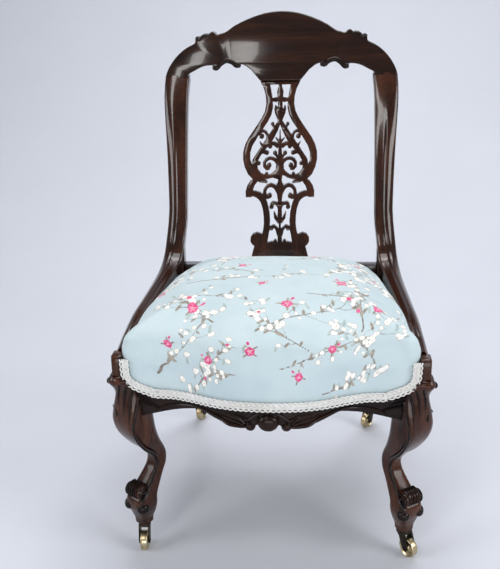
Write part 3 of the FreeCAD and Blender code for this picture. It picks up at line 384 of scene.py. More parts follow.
def seat_print():
    """Smooth duck-egg cotton with a sprig print. The shapes come in as signed distances in millimetres."""
    g = Surface("printed_cotton")
    vector = g.coords()
    mottled = g.noise(vector, 9, 4, 0.6)
    slub = g.noise(vector, 420, 3, 0.6)
    wobble = g.noise(vector, 650, 2, 0.5)
    colour = g.ramp(mottled, (0.3, (0.50, 0.615, 0.655)), (0.7, (0.585, 0.690, 0.720)))
    colour = g.shade(0.25, colour, slub, 0.3, (0.82, 0.84, 0.86), 0.7)
    edge = g.math("MULTIPLY", g.math("SUBTRACT", wobble, 0.5), 1.3)
    for layer, (scale, first, second) in PRINT_LAYERS.items():
        source = g.node("ShaderNodeAttribute", attribute_name=layer)
        mask = g.node("ShaderNodeMapRange", clamp=True, in_From_Min=-PRINT_SOFT, in_From_Max=PRINT_SOFT,
                      in_To_Min=1.0, in_To_Max=0.0)
        g.give(mask.inputs["Value"], g.math("ADD", source.outputs["Fac"], edge))
        tone = g.ramp(g.noise(vector, scale, 3, 0.6), (0.38, first), (0.62, second))
        colour = g.mix(mask.outputs["Result"], colour, tone)
    g.set(Base_Color=colour, Roughness=0.72, Sheen_Weight=0.25, Sheen_Roughness=0.5, Specular_IOR_Level=0.3)
    warp, weft = (g.math("SINE", g.math("MULTIPLY", axis, 2 * math.pi / THREAD)) for axis in g.split(vector)[:2])
    g.bump(g.math("ADD", g.math("MULTIPLY", warp, weft), g.math("MULTIPLY", slub, 1.4)), 0.14, 0.0004)
    return g.material


WOOD_UP = mahogany("mahogany_upright", "z", 0.52)
WOOD_ACROSS = mahogany("mahogany_across", "x", 0.26)
WOOD_DEEP = mahogany("mahogany_front_to_back", "y", 0.62)
WOOD_LEG = mahogany("mahogany_leg", "z", 0.80, 0.65)
WOOD_CARVED = mahogany("mahogany_carved", "x", 0.14, 0.5)
BEECH = plain_wood("sawn_beech", "x")
IRON = metal("dark_castor_metal", ((0.010, 0.008, 0.006), (0.030, 0.024, 0.018), (0.075, 0.058, 0.040)), 0.9,
             (0.5, 0.32), 90)
BRASS = metal("worn_brass", ((0.30, 0.22, 0.11), (0.56, 0.45, 0.26), (0.72, 0.62, 0.42)), 1.0, (0.42, 0.24), 60)
JUTE = woven("jute_webbing", ((0.20, 0.13, 0.07), (0.36, 0.26, 0.15), (0.48, 0.37, 0.23)), 0.0042, 0.8)
HESSIAN = woven("hessian_cloth", ((0.17, 0.12, 0.065), (0.33, 0.25, 0.15), (0.44, 0.35, 0.22)), 0.0028, 0.9)
GIMP = woven("gimp_yarn", ((0.74, 0.73, 0.70), (0.90, 0.90, 0.88), (0.95, 0.95, 0.94)), 0.0011, 0.5, 0.9, 0.6)
PRINT = seat_print()

# The back: one arc, raked and bowed

# The bow is an arc about a line behind the chair; RAKE is its lean at the seat
RAKE = math.radians(15.75)
BOW = 2700.0
BOW_Y = 205 + BOW * math.cos(RAKE)
BOW_Z = 500 - BOW * math.sin(RAKE)
THICK = 28.0
CREST_TOP, CREST_JOINT, CREST_HALF = 901.0, 777.0, 232.5


def back_y(z, offset=0.0):
    return BOW_Y - math.sqrt((BOW + offset) ** 2 - (z - BOW_Z) ** 2)


def back_point(z, offset=0.0):
    angle = math.asin((z - BOW_Z) / BOW)
    return BOW_Y - (BOW + offset) * math.cos(angle), BOW_Z + (BOW + offset) * math.sin(angle)


def on_face(x, z, proud=0.0):
    """A point on the front face of the crest."""
    return at(x, back_y(z, THICK / 2 + proud), z)


# Uprights and sweeps

RIBBON_UP = [(777, 1.0, 1.0), (732, 1.008, 0.87), (637, 0.985, 0.35), (541, 0.968, 0.0), (505, 0.972, 0.04)]
RIBBON_ALONG = [
    (180.5, 474, 0.885, 1.0, 0.25), (161, 448.5, 0.896, 0.95, 0.55), (128, 433, 0.908, 0.8, 0.8),
    (80, 424, 0.922, 0.6, 1.0), (0, 416, 0.946, 0.35, 1.0), (-70, 410, 0.966, 0.2, 0.95),
    (-125, 399, 0.979, 0.08, 0.8), (-158, 388.5, 0.99, 0.0, 0.6), (-176, 383.5, 0.995, 0.0, 0.52)]
BLOCK_OUT = 259.5


def ribbon_rows():
    rows = []
    for z, out, share in RIBBON_UP:
        y, face_z = back_point(z, THICK / 2)
        rows.append((out * CREST_HALF, y, face_z, 37 + 11.5 * share, THICK))
    for y, z, out, wide, depth in RIBBON_ALONG:
        rows.append((out * BLOCK_OUT, y, z, 26 + 11 * wide, THICK + 12 * depth))
    return rows


def ribbon_section(side, row, normal):
    """Rounded bead along the outer third, a hollow, then a face that falls to the eased inner edge."""
    x, y, z, wide, deep = row
    rise = min(1.0, max(0.0, (CREST_JOINT - z) / 60))
    fade = min(1.0, max(0.0, (740 - z) / 130))
    fade = fade * fade * (3 - 2 * fade)
    crown = 0.40 * wide
    fall = 1.0 + 3.6 * rise
    slant = 6.0 * fade
    pairs = [(2.5, deep), (0.8, deep - 1.2), (0.0, deep - 3.0), (0.0, deep * 0.7), (0.0, 7.5 + slant),
             (0.3, 4.6 + slant), (1.3, 2.6 + slant * 0.95), (3.2, 1.2 + slant * 0.80),
             (crown * 0.52, 0.35 + slant * 0.40), (crown * 0.75, 0.1 + slant * 0.12), (crown, 0.0),
             (crown * 1.2, 0.10 * fall + 0.9 * fade),
             (crown * 1.32, 0.16 * fall + 2.0 * fade), (wide * 0.62, 0.34 * fall + 2.0 * fade),
             (wide * 0.78, 0.62 * fall + 1.2 * fade), (wide - 3.4, fall), (wide - 1.6, fall + 0.5),
             (wide - 0.4, fall + 1.7), (wide, fall + 3.6), (wide, deep * 0.6), (wide, deep - 2.6),
             (wide - 0.9, deep - 0.8), (wide - 2.6, deep), (wide * 0.5, deep)]
    return [at(side * (x - across), y - normal[0] * down, z - normal[1] * down) for across, down in pairs]


def ribbon_mesh(side):
    rows = smooth(ribbon_rows(), 132)
    sections = []
    for index, row in enumerate(rows):
        before, after = rows[max(index - 1, 0)], rows[min(index + 1, len(rows) - 1)]
        dy, dz = after[1] - before[1], after[2] - before[2]
        length = math.hypot(dy, dz)
        sections.append(ribbon_section(side, row, (dz / length, -dy / length)))
    return rows, sections


REAR_FOOT = (196.0, 292.0)


def rear_leg_sections(side):
    foot_z, rail_z, rail_y, head_x = 50.0, 372.0, 188.0, CREST_HALF * 0.985 - 18.5
    stations = []
    for index in range(25):
        share = index / 24
        y = rail_y + (REAR_FOOT[1] - rail_y) * (1 - share) ** 1.6
        x = REAR_FOOT[0] + (head_x - REAR_FOOT[0]) * share
        stations.append((x, y, foot_z + (rail_z - foot_z) * share, 28 + 6 * share, 28 + 9 * share ** 0.7))
    stations.append((head_x, rail_y + 1, 444.0, 34.0, 33.3))
    stations.append((head_x, back_y(486) + 1, 486.0, 27.2, 16.8))
    return [[at(side * (x + a), y + b, z) for a, b in rounded_square(wide, deep, 0.16)]
            for x, y, z, wide, deep in stations]


def rounded_square(wide, deep, ease, per_corner=4):
    """Corners of a rectangle with rounded arrises, counter-clockwise from the right."""
    radius = ease * min(wide, deep)
    points = []
    for quarter, (sx, sy) in enumerate(((1, 1), (-1, 1), (-1, -1), (1, -1))):
        for k in range(per_corner + 1):
            angle = math.pi / 2 * (quarter + k / per_corner)
            points.append((sx * (wide / 2 - radius) + radius * math.cos(angle),
                           sy * (deep / 2 - radius) + radius * math.sin(angle)))
    return points


for word, side in SIDES:
    rows, sections = ribbon_mesh(side)
    bend = next(i for i, row in enumerate(rows) if row[1] < 161 and row[2] < 470)
    post = Builder()
    post.rings(sections[:bend + 1])
    post.rings(rear_leg_sections(side))
    post.make(f"upright_{word}", WOOD_UP, slot="show_wood", replaces=(f"back_post_{word}",), angle=50)
    sweep = Builder()
    sweep.rings(sections[bend:])
    sweep.make(f"arm_sweep_{word}", WOOD_DEEP, slot="show_wood", replaces=(f"sweep_{word}",), angle=50)

# Crest and splat

eased("crest_rail", "crest", 0.0019, WOOD_ACROSS, segments=3)
eased("fret_splat", "fret", 0.0007, WOOD_UP, segments=2, angle=50, shade=35)


def crest_at(across, up, proud=0.0):
    return on_face(across * CREST_HALF, CREST_JOINT + up * (CREST_TOP - CREST_JOINT), proud)


carving = Builder()
for word, side in SIDES:
    run = smooth([(0.575, 0.135), (0.553, 0.120), (0.536, 0.150), (0.516, 0.196), (0.468, 0.244), (0.412, 0.214),
                  (0.386, 0.168), (0.366, 0.158), (0.350, 0.186)], 44)
    path = [crest_at(side * a, u + 0.012, -0.3) for a, u in run]
    carving.tube(path, lambda t: 0.0024 + 0.0026 * math.sin(math.pi * t), 12)
    for a, u, r in ((0.566, 0.152, 0.0052), (0.360, 0.185, 0.0048)):
        carving.dome(crest_at(side * a, u, 0.3), (0, -1, 0.2), (1, 0, 0), r, r, 0.0035, 5, 18)
    tip = smooth([(0.62, 0.655), (0.655, 0.66), (0.685, 0.635), (0.70, 0.59), (0.722, 0.604), (0.736, 0.585)], 26)
    carving.tube([crest_at(side * a, u - 0.012, -0.6) for a, u in tip], lambda t: 0.0030 - 0.0012 * t, 10)
carving.make("crest_scrolls", WOOD_CARVED, slot="show_wood")

# Front legs

LEG_X, LEG_Y, LEG_TURN = 229.0, -174.0, 34.0
FOOT_TOP, BLOCK_BASE, BLOCK_TOP, BLOCK_WIDE = 50.0, 343.0, 380.0, 27.0
# Front view of the line where the cloth ends: along the front rail, then up beside the block
CLOTH_EDGE = [(0, 309), (172, 309), (191, 311.5), (212, 319), (228, 328), (236, 337), (239.5, 348), (240.5, 372)]


# Carved flutes from the seat's corner over the knee, right leg, in the front view
FLUTES = [[(214, 318), (218, 303), (222, 283), (226, 260), (229, 236)],
          [(225, 323), (230, 307), (233, 286), (234, 264)],
          [(236, 328), (241, 312), (243, 294), (242, 276)],
          [(247, 332), (251, 318), (253, 303), (252, 289)]]
FRONT_Y, BOW_FRONT = -246.0, 43.0
UNDER_CLOTH = FRONT_Y + BOW_FRONT + 5


def read(table, t):
    for (t0, v0), (t1, v1) in zip(table, table[1:]):
        if t <= t1:
            return v0 + (v1 - v0) * (t - t0) / (t1 - t0)
    return table[-1][1]


def leg_stations():
    """height, reach, side of the square, turn share, shift share towards the block"""
    block = BLOCK_BASE
    return [(50, 0, 26, 1, 0), (60, 0, 28, 1, 0), (72, 0, 36, 1, 0), (88, 2, 44, 1, 0), (104, 1, 44, 1, 0),
            (118, -11, 38, 1, 0), (135, -25, 32, 1, 0), (151, -37, 29, 1, 0), (168, -40, 28, 1, 0),
            (185, -31, 33, 1, 0), (205, -14, 43, 1, 0), (232, 2, 53, 1, 0), (256, 9, 57, 1, 0),
            (278, 9, 54, 0.8, 0.03), (block - 38, 7, 46, 0.5, 0.1), (block - 24, 3, 42, 0.25, 0.5),
            (block - 9, 0, 42, 0, 1), (block + 1, 0, 36, 0, 1)]


def leg_place(row):
    z, reach, wide, turn, shift = row
    a = math.radians(LEG_TURN)
    x = LEG_X + reach * math.sin(a)
    y = LEG_Y - reach * math.cos(a)
    block_x, block_y = BLOCK_OUT - BLOCK_WIDE / 2, LEG_Y - 2 - BLOCK_WIDE / 2
    return x * (1 - shift) + block_x * shift, y * (1 - shift) + block_y * shift


# Outwards along the leg's own plane, and square to it, for the right leg
TURN = math.radians(LEG_TURN)
FORWARD, ACROSS = Vector((math.sin(TURN), -math.cos(TURN), 0)), Vector((math.cos(TURN), math.sin(TURN), 0))


def hidden_top(x, z):
    """True where the seat cover hides the leg, seen from the front."""
    return x < CLOTH_EDGE[-1][0] + 2 and z > read(CLOTH_EDGE, x)


def spiral(centre, right, up, r0, r1, start, turns):
    return [centre + turned(right, up, start + turns * 2 * math.pi * t) * (r0 + (r1 - r0) * t)
            for t in (k / 40 for k in range(41))]


def front_of_leg(shell, x, z):
    """Where the leg's front surface lies at a place in the front view."""
    ring = min(shell, key=lambda points: abs(points[0][2] - z))
    found = []
    for (x0, y0, _), (x1, y1, _) in zip(ring, ring[1:] + ring[:1]):
        if (x0 - x) * (x1 - x) <= 0 and x0 != x1:
            found.append(y0 + (y1 - y0) * (x - x0) / (x1 - x0))
    return min(found) if found else min(ring, key=lambda p: abs(p[0] - x))[1]


for word, side in SIDES:
    leg = Builder()
    rows = smooth(leg_stations(), 92)
    rings, arris, shell = [], [], []
    for row in rows:
        z, reach, wide, turn, shift = row
        x, y = leg_place(row)
        a = math.radians(LEG_TURN * turn)
        ring = []
        for u, v in rounded_square(wide, wide, 0.26):
            px, py = x + u * math.cos(a) - v * math.sin(a), y + u * math.sin(a) + v * math.cos(a)
            if hidden_top(px, z):
                py = max(py, UNDER_CLOTH)
            ring.append((px, py, z))
        shell.append(ring)
        rings.append([at(side * px, py, pz) for px, py, pz in ring])
        reach_out = wide / 2 * (1 - 0.26) + wide * 0.26 * 0.707
        corner = a - math.pi / 4
        cx = x + reach_out * math.sqrt(2) * math.sin(corner) * 0.985
        cy = y - reach_out * math.sqrt(2) * math.cos(corner) * 0.985
        arris.append((cx, cy, z))
    leg.rings(rings)
    out, back = BLOCK_OUT, LEG_Y - 2
    block = [[at(side * (out - 9.2 + a), back - BLOCK_WIDE / 2 + b, z)
              for a, b in rounded_square(w - 8.6, w, 0.16)] for z, w in
             ((BLOCK_BASE - 5, 24), (BLOCK_BASE - 2, 26), (BLOCK_BASE + 2, 27), (BLOCK_TOP - 5, 27),
              (BLOCK_TOP - 3.5, 25.6), (BLOCK_TOP - 2.5, 27), (BLOCK_TOP - 0.8, 26.6), (BLOCK_TOP, 25))]
    leg.rings(block)
    centre = Vector((LEG_X, LEG_Y, 0)) + FORWARD * 11 + HIGH * (FOOT_TOP + 67)
    toe = []
    for step in range(17):
        t = step / 8 - 1
        radius = 15.5 * math.sqrt(max(0.0, 1 - abs(t) ** 5) * 0.94 + 0.06) * (1 - 0.10 * (1 - abs(t)))
        toe.append([centre + ACROSS * (18 * t) + turned(FORWARD, HIGH, b) * radius for b in circle(28)])
    leg.rings([[at(side * p.x, p.y, p.z) for p in ring] for ring in toe])
    leg.make(f"cabriole_leg_{word}", WOOD_LEG, slot="show_wood", replaces=(f"front_leg_{word}",), angle=60)

    trim = Builder()
    line = [at(side * x, y, z) for x, y, z in arris if 100 < z < 300]
    trim.tube(line, lambda t: 0.0016 + 0.0016 * math.sin(math.pi * min(1, t * 1.1)), 10)

    def place(p):
        return at(side * p.x, p.y, p.z)

    # scroll lines on both cheeks of the toe with a leaf between them, and round lower volutes
    for k in (-1, 1):
        start = centre + ACROSS * (17.6 * k)
        path = spiral(start, FORWARD, HIGH, 13.2, 2.0, -2.2, 1.6)
        trim.tube([place(p) for p in path], lambda t: 0.0026 - 0.0008 * t, 8)
        facing = ACROSS * k
        trim.dome(place(start), (side * facing.x, facing.y, 0), HIGH, 0.0048, 0.0048, 0.0035, 5, 16)
        volute = Vector((LEG_X, LEG_Y, 88)) + FORWARD * 17 + ACROSS * (17 * k)
        facing += FORWARD * 0.7
        trim.dome(place(volute), (side * facing.x, facing.y, 0), HIGH, 0.0105, 0.0115, 0.0085, 8, 24)
    for offset in (-11, -5.5, 0, 5.5, 11):
        vein = [centre + ACROSS * offset * (1 - 0.12 * t) + turned(FORWARD, HIGH, 2.0 - 2.5 * t) * 14.6
                for t in (i / 18 for i in range(19))]
        trim.tube([place(p) for p in vein], lambda t: 0.0021 - 0.0007 * t, 8)
    # volute with its eye at the outer shoulder of the knee
    normal = (FORWARD * 0.9 + ACROSS * 0.55).normalized()
    middle = Vector((LEG_X + 31.5, LEG_Y - 18, 274))
    path = spiral(middle, normal.cross(HIGH).normalized(), HIGH, 11.5, 2.5, 2.6, -1.3)
    trim.tube([place(p) for p in path], lambda t: 0.0032 - 0.0013 * t, 10)
    trim.dome(place(middle), (side * normal.x, normal.y, 0), HIGH, 0.0045, 0.0045, 0.0045, 5, 16)
    # leaf flutes that run down from the seat's corner over the knee
    for flute in FLUTES:
        line = [at(side * x, front_of_leg(shell, x, z) + 0.5, z) for x, z in smooth(flute, 22)]
        trim.tube(line, lambda t: 0.0006 + 0.0020 * math.sin(math.pi * min(1.0, 0.2 + 0.8 * t)), 10)
    tip = smooth([(250, -196, 336), (259, -194, 337), (266, -193, 335.5), (269, -193, 331), (267, -193, 328)], 18)
    trim.tube([at(side * x, y, z) for x, y, z in tip], lambda t: 0.0046 - 0.0024 * t, 10)
    trim.make(f"leg_carving_{word}", WOOD_CARVED, slot="show_wood")

# Front rail, side rails, rear rail, blocks

SERPENTINE = [(0, 0), (0.154, 0.06), (0.308, 0.256), (0.46, 0.66), (0.6, 0.96), (0.72, 1.0), (0.9, 1.0)]
RAIL_EDGE = [(0, 0.70), (0.075, 0.71), (0.14, 0.86), (0.2, 0.88), (0.255, 0.82), (0.316, 0.54), (0.39, 0.39),
             (0.47, 0.31), (0.56, 0.37), (0.67, 0.52), (0.74, 0.84), (0.8, 1.0)]
SHOW_LINE, LOBE_DROP = 309.0, 38.0


SERPENTINE_FINE = smooth(SERPENTINE, 120)
EDGE_FINE = smooth(RAIL_EDGE, 120)


def front_y(x):
    return FRONT_Y + BOW_FRONT * read(SERPENTINE_FINE, abs(x) / BLOCK_OUT)


def edge_z(x):
    return SHOW_LINE - LOBE_DROP * read(EDGE_FINE, abs(x) / BLOCK_OUT)


def on_rail(x, z, proud=0.0):
    return at(x, front_y(x) - proud, z)


eased("front_rail", "front_seat_rail", 0.0012, WOOD_CARVED, segments=2)
for word, side in SIDES:
    eased(f"side_rail_{word}", f"side_seat_rail_{word}", 0.0012, WOOD_DEEP)
eased("rear_rail", "rear_seat_rail", 0.0010, WOOD_ACROSS)
eased("corner_blocks", "glue_blocks", 0.0008, BEECH)

rail = Builder()
for side in (-1, 1):
    bead = [on_rail(side * x, edge_z(x) + 2.6, 0.2) for x in [31 + (188 - 31) * k / 60 for k in range(61)]]
    rail.tube(bead, lambda t: 0.0026, 8)
    crescent = smooth([(0, 307), (9, 305.5), (18, 301), (26, 295), (33, 291), (40, 292)], 24)
    rail.tube([on_rail(side * x, z, 1.5) for x, z in crescent], lambda t: 0.0040 - 0.0020 * t, 10)
    for leaf in ([(38, 284), (50, 296), (70, 300)], [(40, 281), (58, 289), (84, 297)],
                 [(46, 279), (66, 284), (96, 295)]):
        leaf = smooth(leaf, 16)
        rail.tube([on_rail(side * x, z, 0.2) for x, z in leaf], lambda t: 0.0020 * (1 - t) + 0.0006, 8)
    rail.dome(on_rail(side * 30, 279.5, 2.2), (0, -1, 0), (1, 0, 0), 0.0062, 0.0062, 0.004, 5, 18)
rail.dome(on_rail(0, 288.5, 3.5), (0, -1, 0), (1, 0, 0), 0.0165, 0.0145, 0.0085, 8, 30)
rail.make("rail_carving", WOOD_CARVED, slot="show_wood")

# Seat

POST_IN = CREST_HALF * 0.985 - 18.5 - 17 - 1.2
BACK = 186 - 12 - 0.6


def seat_half():
    """Right half of the line of tacks, from the front middle round to the back middle."""
    points = [(share * BLOCK_OUT, FRONT_Y + BOW_FRONT * bow) for share, bow in SERPENTINE_FINE if share <= 0.72]
    points = points[::5]
    points += [(200, -204), (216, -204.5), (229, -203), (237, -198.5), (240.5, -191), (241, -181)]
    for y, z, out, wide, depth in RIBBON_ALONG[::-1]:
        if -165 < y < 130:
            points.append((out * BLOCK_OUT - (26 + 11 * wide) - 0.6, y))
    points += [(POST_IN, 148), (POST_IN - 2, 164), (POST_IN - 12, 172), (POST_IN - 30, BACK), (POST_IN * 0.5, BACK),
               (0, BACK)]
    return points


SWEEP_TOPS = [(y, z) for y, z, out, wide, depth in reversed(RIBBON_ALONG)]


def overhang(y):
    """How far the stuffing rolls out over the inner edge of the sweep."""
    return read([(-176, 0.0), (-150, 5.0), (-100, 6.0), (-20, 5.0), (80, 3.0), (130, 0.0), (200, 0.0)], y)


def resample(points, count):
    lengths = [0.0]
    for a, b in zip(points, points[1:]):
        lengths.append(lengths[-1] + math.dist(a, b))
    out, k = [], 0
    for index in range(count + 1):
        goal = lengths[-1] * index / count
        while k < len(points) - 2 and lengths[k + 1] < goal:
            k += 1
        t = (goal - lengths[k]) / max(lengths[k + 1] - lengths[k], 1e-9)
        out.append(tuple(a + (b - a) * t for a, b in zip(points[k], points[k + 1])))
    return out


HALF_STEPS = 88
half = resample(smooth(seat_half(), 400), HALF_STEPS)
OUTLINE = half + [(-x, y) for x, y in reversed(half[1:-1])]


def low_edge(x, y):
    """How far down the cloth goes: over the front rail to the show-wood line, elsewhere to the rails' tops."""
    top = 377.0
    if y > -150:
        return top
    z = read(CLOTH_EDGE, abs(x))
    share = min(1.0, max(0.0, (y + 186) / 20))
    return z + (top - z) * share


SEAT_MIDDLE_Y = FRONT_Y * 0.1
SEAT_REACH = 232.0
HESSIAN_TOP, CLOTH_BREAK, CROWN = 377.4, 404.0, 461.0
OVAL_WIDE, OVAL_BACK, OVAL_FRONT = 240.0, 196.0, 186.0


def seat_point(x, y, z, reach, round_off):
    """A point of the seat's skin: rolls out above the sweep, and loses its corners towards the crown."""
    rest = read(SWEEP_TOPS, y) + 0.6
    roll = min(1.0, max(0.0, (z - rest) / 7))
    x += math.copysign(overhang(y) * roll * roll * (3 - 2 * roll), x) if abs(x) > 60 else 0.0
    dx, dy = x, y - SEAT_MIDDLE_Y
    distance = math.hypot(dx, dy) + 1e-9
    long = OVAL_BACK if dy > 0 else OVAL_FRONT
    oval = 1 / math.sqrt((dx / distance / OVAL_WIDE) ** 2 + (dy / distance / long) ** 2)
    reach *= 1 - round_off * (1 - min(1.0, oval / distance))
    return Vector((dx * reach, SEAT_MIDDLE_Y + dy * reach, z))


def seat_rings():
    """Rows of points from the cloth's lower edge up over the crown."""
    rows = []
    for k in range(9):
        t = k / 8
        row = []
        for x, y in OUTLINE:
            low = low_edge(x, y)
            swell = 2.5 * math.sin(math.pi * t) - 1.4
            row.append(seat_point(x, y, low + (CLOTH_BREAK - low) * t, 1 + swell / SEAT_REACH, 0.0))
        rows.append(row)
    for k in range(1, 27):
        t = k / 27
        angle = math.pi / 2 * t
        rise = math.sin(angle) ** 0.86
        draw = (1 - math.cos(angle) ** 0.76) * 0.97 + 0.004
        height = CLOTH_BREAK + (CROWN - CLOTH_BREAK) * rise
        rows.append([seat_point(x, y, height, 1 - draw, 0.62 * math.sin(angle) ** 1.2) for x, y in OUTLINE])
    return rows


def drawn_in(points, reach):
    """The same line, closer to the middle of the seat."""
    return [(x * reach, SEAT_MIDDLE_Y + (y - SEAT_MIDDLE_Y) * reach) for x, y in points]


def make_cushion():
    rows = seat_rings()
    count = len(OUTLINE)
    verts = [p for row in rows for p in row]
    faces = []
    for r in range(len(rows) - 1):
        for i in range(count):
            j = (i + 1) % count
            faces.append((r * count + i, r * count + j, (r + 1) * count + j, (r + 1) * count + i))
    top = len(verts)
    verts.append(Vector((0, SEAT_MIDDLE_Y, CROWN + 0.4)))
    last = (len(rows) - 1) * count
    faces += [(last + i, last + (i + 1) % count, top) for i in range(count)]
    # inside of the skirt, and the flat underside on the hessian
    inner = len(verts)
    inside = drawn_in(OUTLINE, 1 - 3.6 / SEAT_REACH)
    verts += [Vector((x, y, low.z)) for (x, y), low in zip(inside, rows[0])]
    verts += [Vector((x, y, HESSIAN_TOP)) for x, y in inside]
    for i in range(count):
        j = (i + 1) % count
        faces.append((j, i, inner + i, inner + j))
        faces.append((inner + j, inner + i, inner + count + i, inner + count + j))
    floor = len(verts)
    verts.append(Vector((0, SEAT_MIDDLE_Y, HESSIAN_TOP)))
    faces += [(inner + count + (i + 1) % count, inner + count + i, floor) for i in range(count)]
    obj = mesh_object("seat_cushion", [at(*v) for v in verts], faces)
    group = obj.vertex_groups.new(name="held")
    held = list(range(3 * count)) + list(range(inner, len(verts)))
    group.add(held, 1.0, "REPLACE")
    for r, weight in ((3, 0.75), (4, 0.5), (5, 0.25)):
        group.add(list(range(r * count, (r + 1) * count)), weight, "REPLACE")
    return obj


FRAMES, MOST_MOVE = 20, 0.007


def fill_out(obj):
    """Lets the cloth swell against its tacks, then keeps every point close to where it was cut."""
    start = [v.co.copy() for v in obj.data.vertices]
    cloth = obj.modifiers.new("cloth", "CLOTH")
    for name, value in {"quality": 7, "mass": 0.3, "tension_stiffness": 22, "compression_stiffness": 22,
                        "shear_stiffness": 8, "bending_stiffness": 1.2, "vertex_group_mass": "held",
                        "pin_stiffness": 1.0, "use_pressure": True, "uniform_pressure_force": 4.0}.items():
        setattr(cloth.settings, name, value)
    cloth.settings.effector_weights.gravity = 0
    cloth.collision_settings.use_collision = False
    cloth.collision_settings.use_self_collision = False
    cloth.point_cache.frame_start = 1
    cloth.point_cache.frame_end = FRAMES
    scene = bpy.context.scene
    for number in range(1, FRAMES + 1):
        scene.frame_set(number)
    apply(obj)
    scene.frame_set(1)
    for vertex, home in zip(obj.data.vertices, start):
        move = vertex.co - home
        if move.length > MOST_MOVE:
            move *= MOST_MOVE / move.length
        if home.z > 0.38:
            move *= 0.9
        vertex.co = home + move


cushion = make_cushion()
fill_out(cushion)


def pucker(obj):
    """Small pulls in the cloth where it is tacked under the braid."""
    for vertex in obj.data.vertices:
        x, y, z = vertex.co
        near = max(0.0, 1 - abs(z - 0.335) / 0.045)
        if near and y < -0.2:
            wave = math.sin(x * 190) * 0.5 + math.sin(x * 83 + 1.3) * 0.5
            vertex.co.y -= 0.0006 * near * wave


pucker(cushion)
cushion.modifiers.new("fine", "SUBSURF").levels = 2
cushion.modifiers["fine"].render_levels = 2
apply(cushion)

# Print: sprigs and blossom laid out


SHAPES = {name: [] for name in PRINT_LAYERS}


def beside(x, y, angle, away):
    return x + math.cos(angle) * away, y + math.sin(angle) * away


def blossom(x, y, radius, pink=False):
    turn = random.uniform(0, 6.28)
    SHAPES["rim"].append(("petals", x, y, radius * 1.2, turn, 5, 0.22))
    SHAPES["pink" if pink else "bloom"].append(("petals", x, y, radius, turn, 5, 0.24))
    SHAPES["heart"].append(("petals", x, y, radius * 0.24, 0, 3, 0.1))


def sprig(x, y, heading, long, bend, blooms=5, pink_at=(), leaves=6):
    """A main twig with side shoots, blossom clusters and small leaves."""
    points = []
    a, px, py = heading, x, y
    steps = 14
    for k in range(steps + 1):
        points.append((px, py))
        a += bend / steps + random.uniform(-0.13, 0.13)
        px += math.cos(a) * long / steps
        py += math.sin(a) * long / steps
    SHAPES["twig"].append(("stroke", points, 1.3, 0.5))
    for k in range(3, steps, 2):
        side = 1 if (k // 2) % 2 else -1
        bx, by = points[k]
        b = heading + bend * k / steps + side * random.uniform(0.55, 1.1)
        reach = long * random.uniform(0.13, 0.27)
        shoot = [(bx, by)]
        for s in range(1, 6):
            b -= side * 0.10
            bx += math.cos(b) * reach / 5
            by += math.sin(b) * reach / 5
            shoot.append((bx, by))
        SHAPES["twig"].append(("stroke", shoot, 0.8, 0.4))
        for s in range(2 if k % 4 == 1 else 1):
            blossom(bx + random.uniform(-7, 7), by + random.uniform(-6, 6), random.uniform(3.2, 5.6))
        if k % 4 == 3:
            SHAPES["leaf"].append(("drop", *shoot[3], 7.5, 2.6, b + side * 1.0))
        near_x, near_y = bx + random.uniform(-9, 9), by + random.uniform(-9, 9)
        SHAPES["shadow_leaf"].append(("drop", near_x, near_y, 8, 2.8, b + 1.3))
    for k in range(blooms):
        bx, by = points[random.randrange(4, steps + 1)]
        near_x, near_y = bx + random.uniform(-13, 13), by + random.uniform(-11, 11)
        blossom(near_x, near_y, random.uniform(2.8, 5.6), k in pink_at)
    for k in range(leaves):
        bx, by = points[random.randrange(2, steps + 1)]
        b = heading + random.uniform(-1.4, 1.4)
        SHAPES["leaf"].append(("drop", *beside(bx, by, b, 5), random.uniform(5.5, 9), 2.4, b))


def posy(x, y, size, turn):
    """A full magenta flower with a pale middle, a bud beside it, and leaves."""
    for k in range(4):
        a = turn + 0.5 + k * 1.6 + random.uniform(-0.2, 0.2)
        SHAPES["leaf"].append(("drop", *beside(x, y, a, size * 1.15), size * 0.62, size * 0.20, a))
    for k in range(5):
        a = turn + k * 1.257
        SHAPES["pink"].append(("petals", *beside(x, y, a, size * 0.42), size * 0.50, a, 1, 0.12))
        SHAPES["blush"].append(("drop", *beside(x, y, a, size * 0.50), size * 0.24, size * 0.10, a))
    SHAPES["blush"].append(("petals", x, y, size * 0.26, turn + 0.5, 5, 0.22))
    SHAPES["heart"].append(("petals", x, y, size * 0.16, 0, 3, 0.1))
    bud = beside(x, y, turn, size * 1.75)
    SHAPES["twig"].append(("stroke", [(x, y), bud], 0.9, 0.7))
    SHAPES["pink"].append(("drop", *bud, size * 0.45, size * 0.26, turn))


# place, heading, length and bend of each sprig
SPRIGS = [(-215, -165, 0.75, 190, -0.5), (-150, -60, 0.15, 210, 0.55), (-20, -215, 0.35, 230, 0.4),
          (60, -120, 0.10, 170, -0.6), (-40, -20, 2.6, 180, 0.5), (20, 60, 0.20, 200, -0.45),
          (-190, 60, 0.55, 150, -0.5), (110, 20, -0.9, 140, 0.5), (-60, 120, 0.05, 180, 0.3),
          (150, -190, 1.35, 140, 0.4), (-235, -255, 0.25, 170, 0.5), (20, -290, 0.30, 200, 0.25),
          (-170, -300, 0.2, 130, 0.4), (190, 90, 2.2, 120, 0.5), (-90, -190, 2.4, 120, 0.6),
          (70, -250, 2.7, 130, -0.4), (210, -250, 2.3, 120, 0.5), (-250, -90, 1.0, 110, -0.4),
          (240, -60, 2.5, 120, -0.5), (-100, 30, 1.3, 90, 0.5), (90, -30, 0.9, 90, 0.4),
          (-60, -300, 2.7, 120, 0.3), (120, -320, 0.5, 110, 0.4)]
for number, (x, y, heading, long, bend) in enumerate(SPRIGS):
    sprig(x, y, heading, long, bend, 9, (2,) if number % 3 == 0 else ())
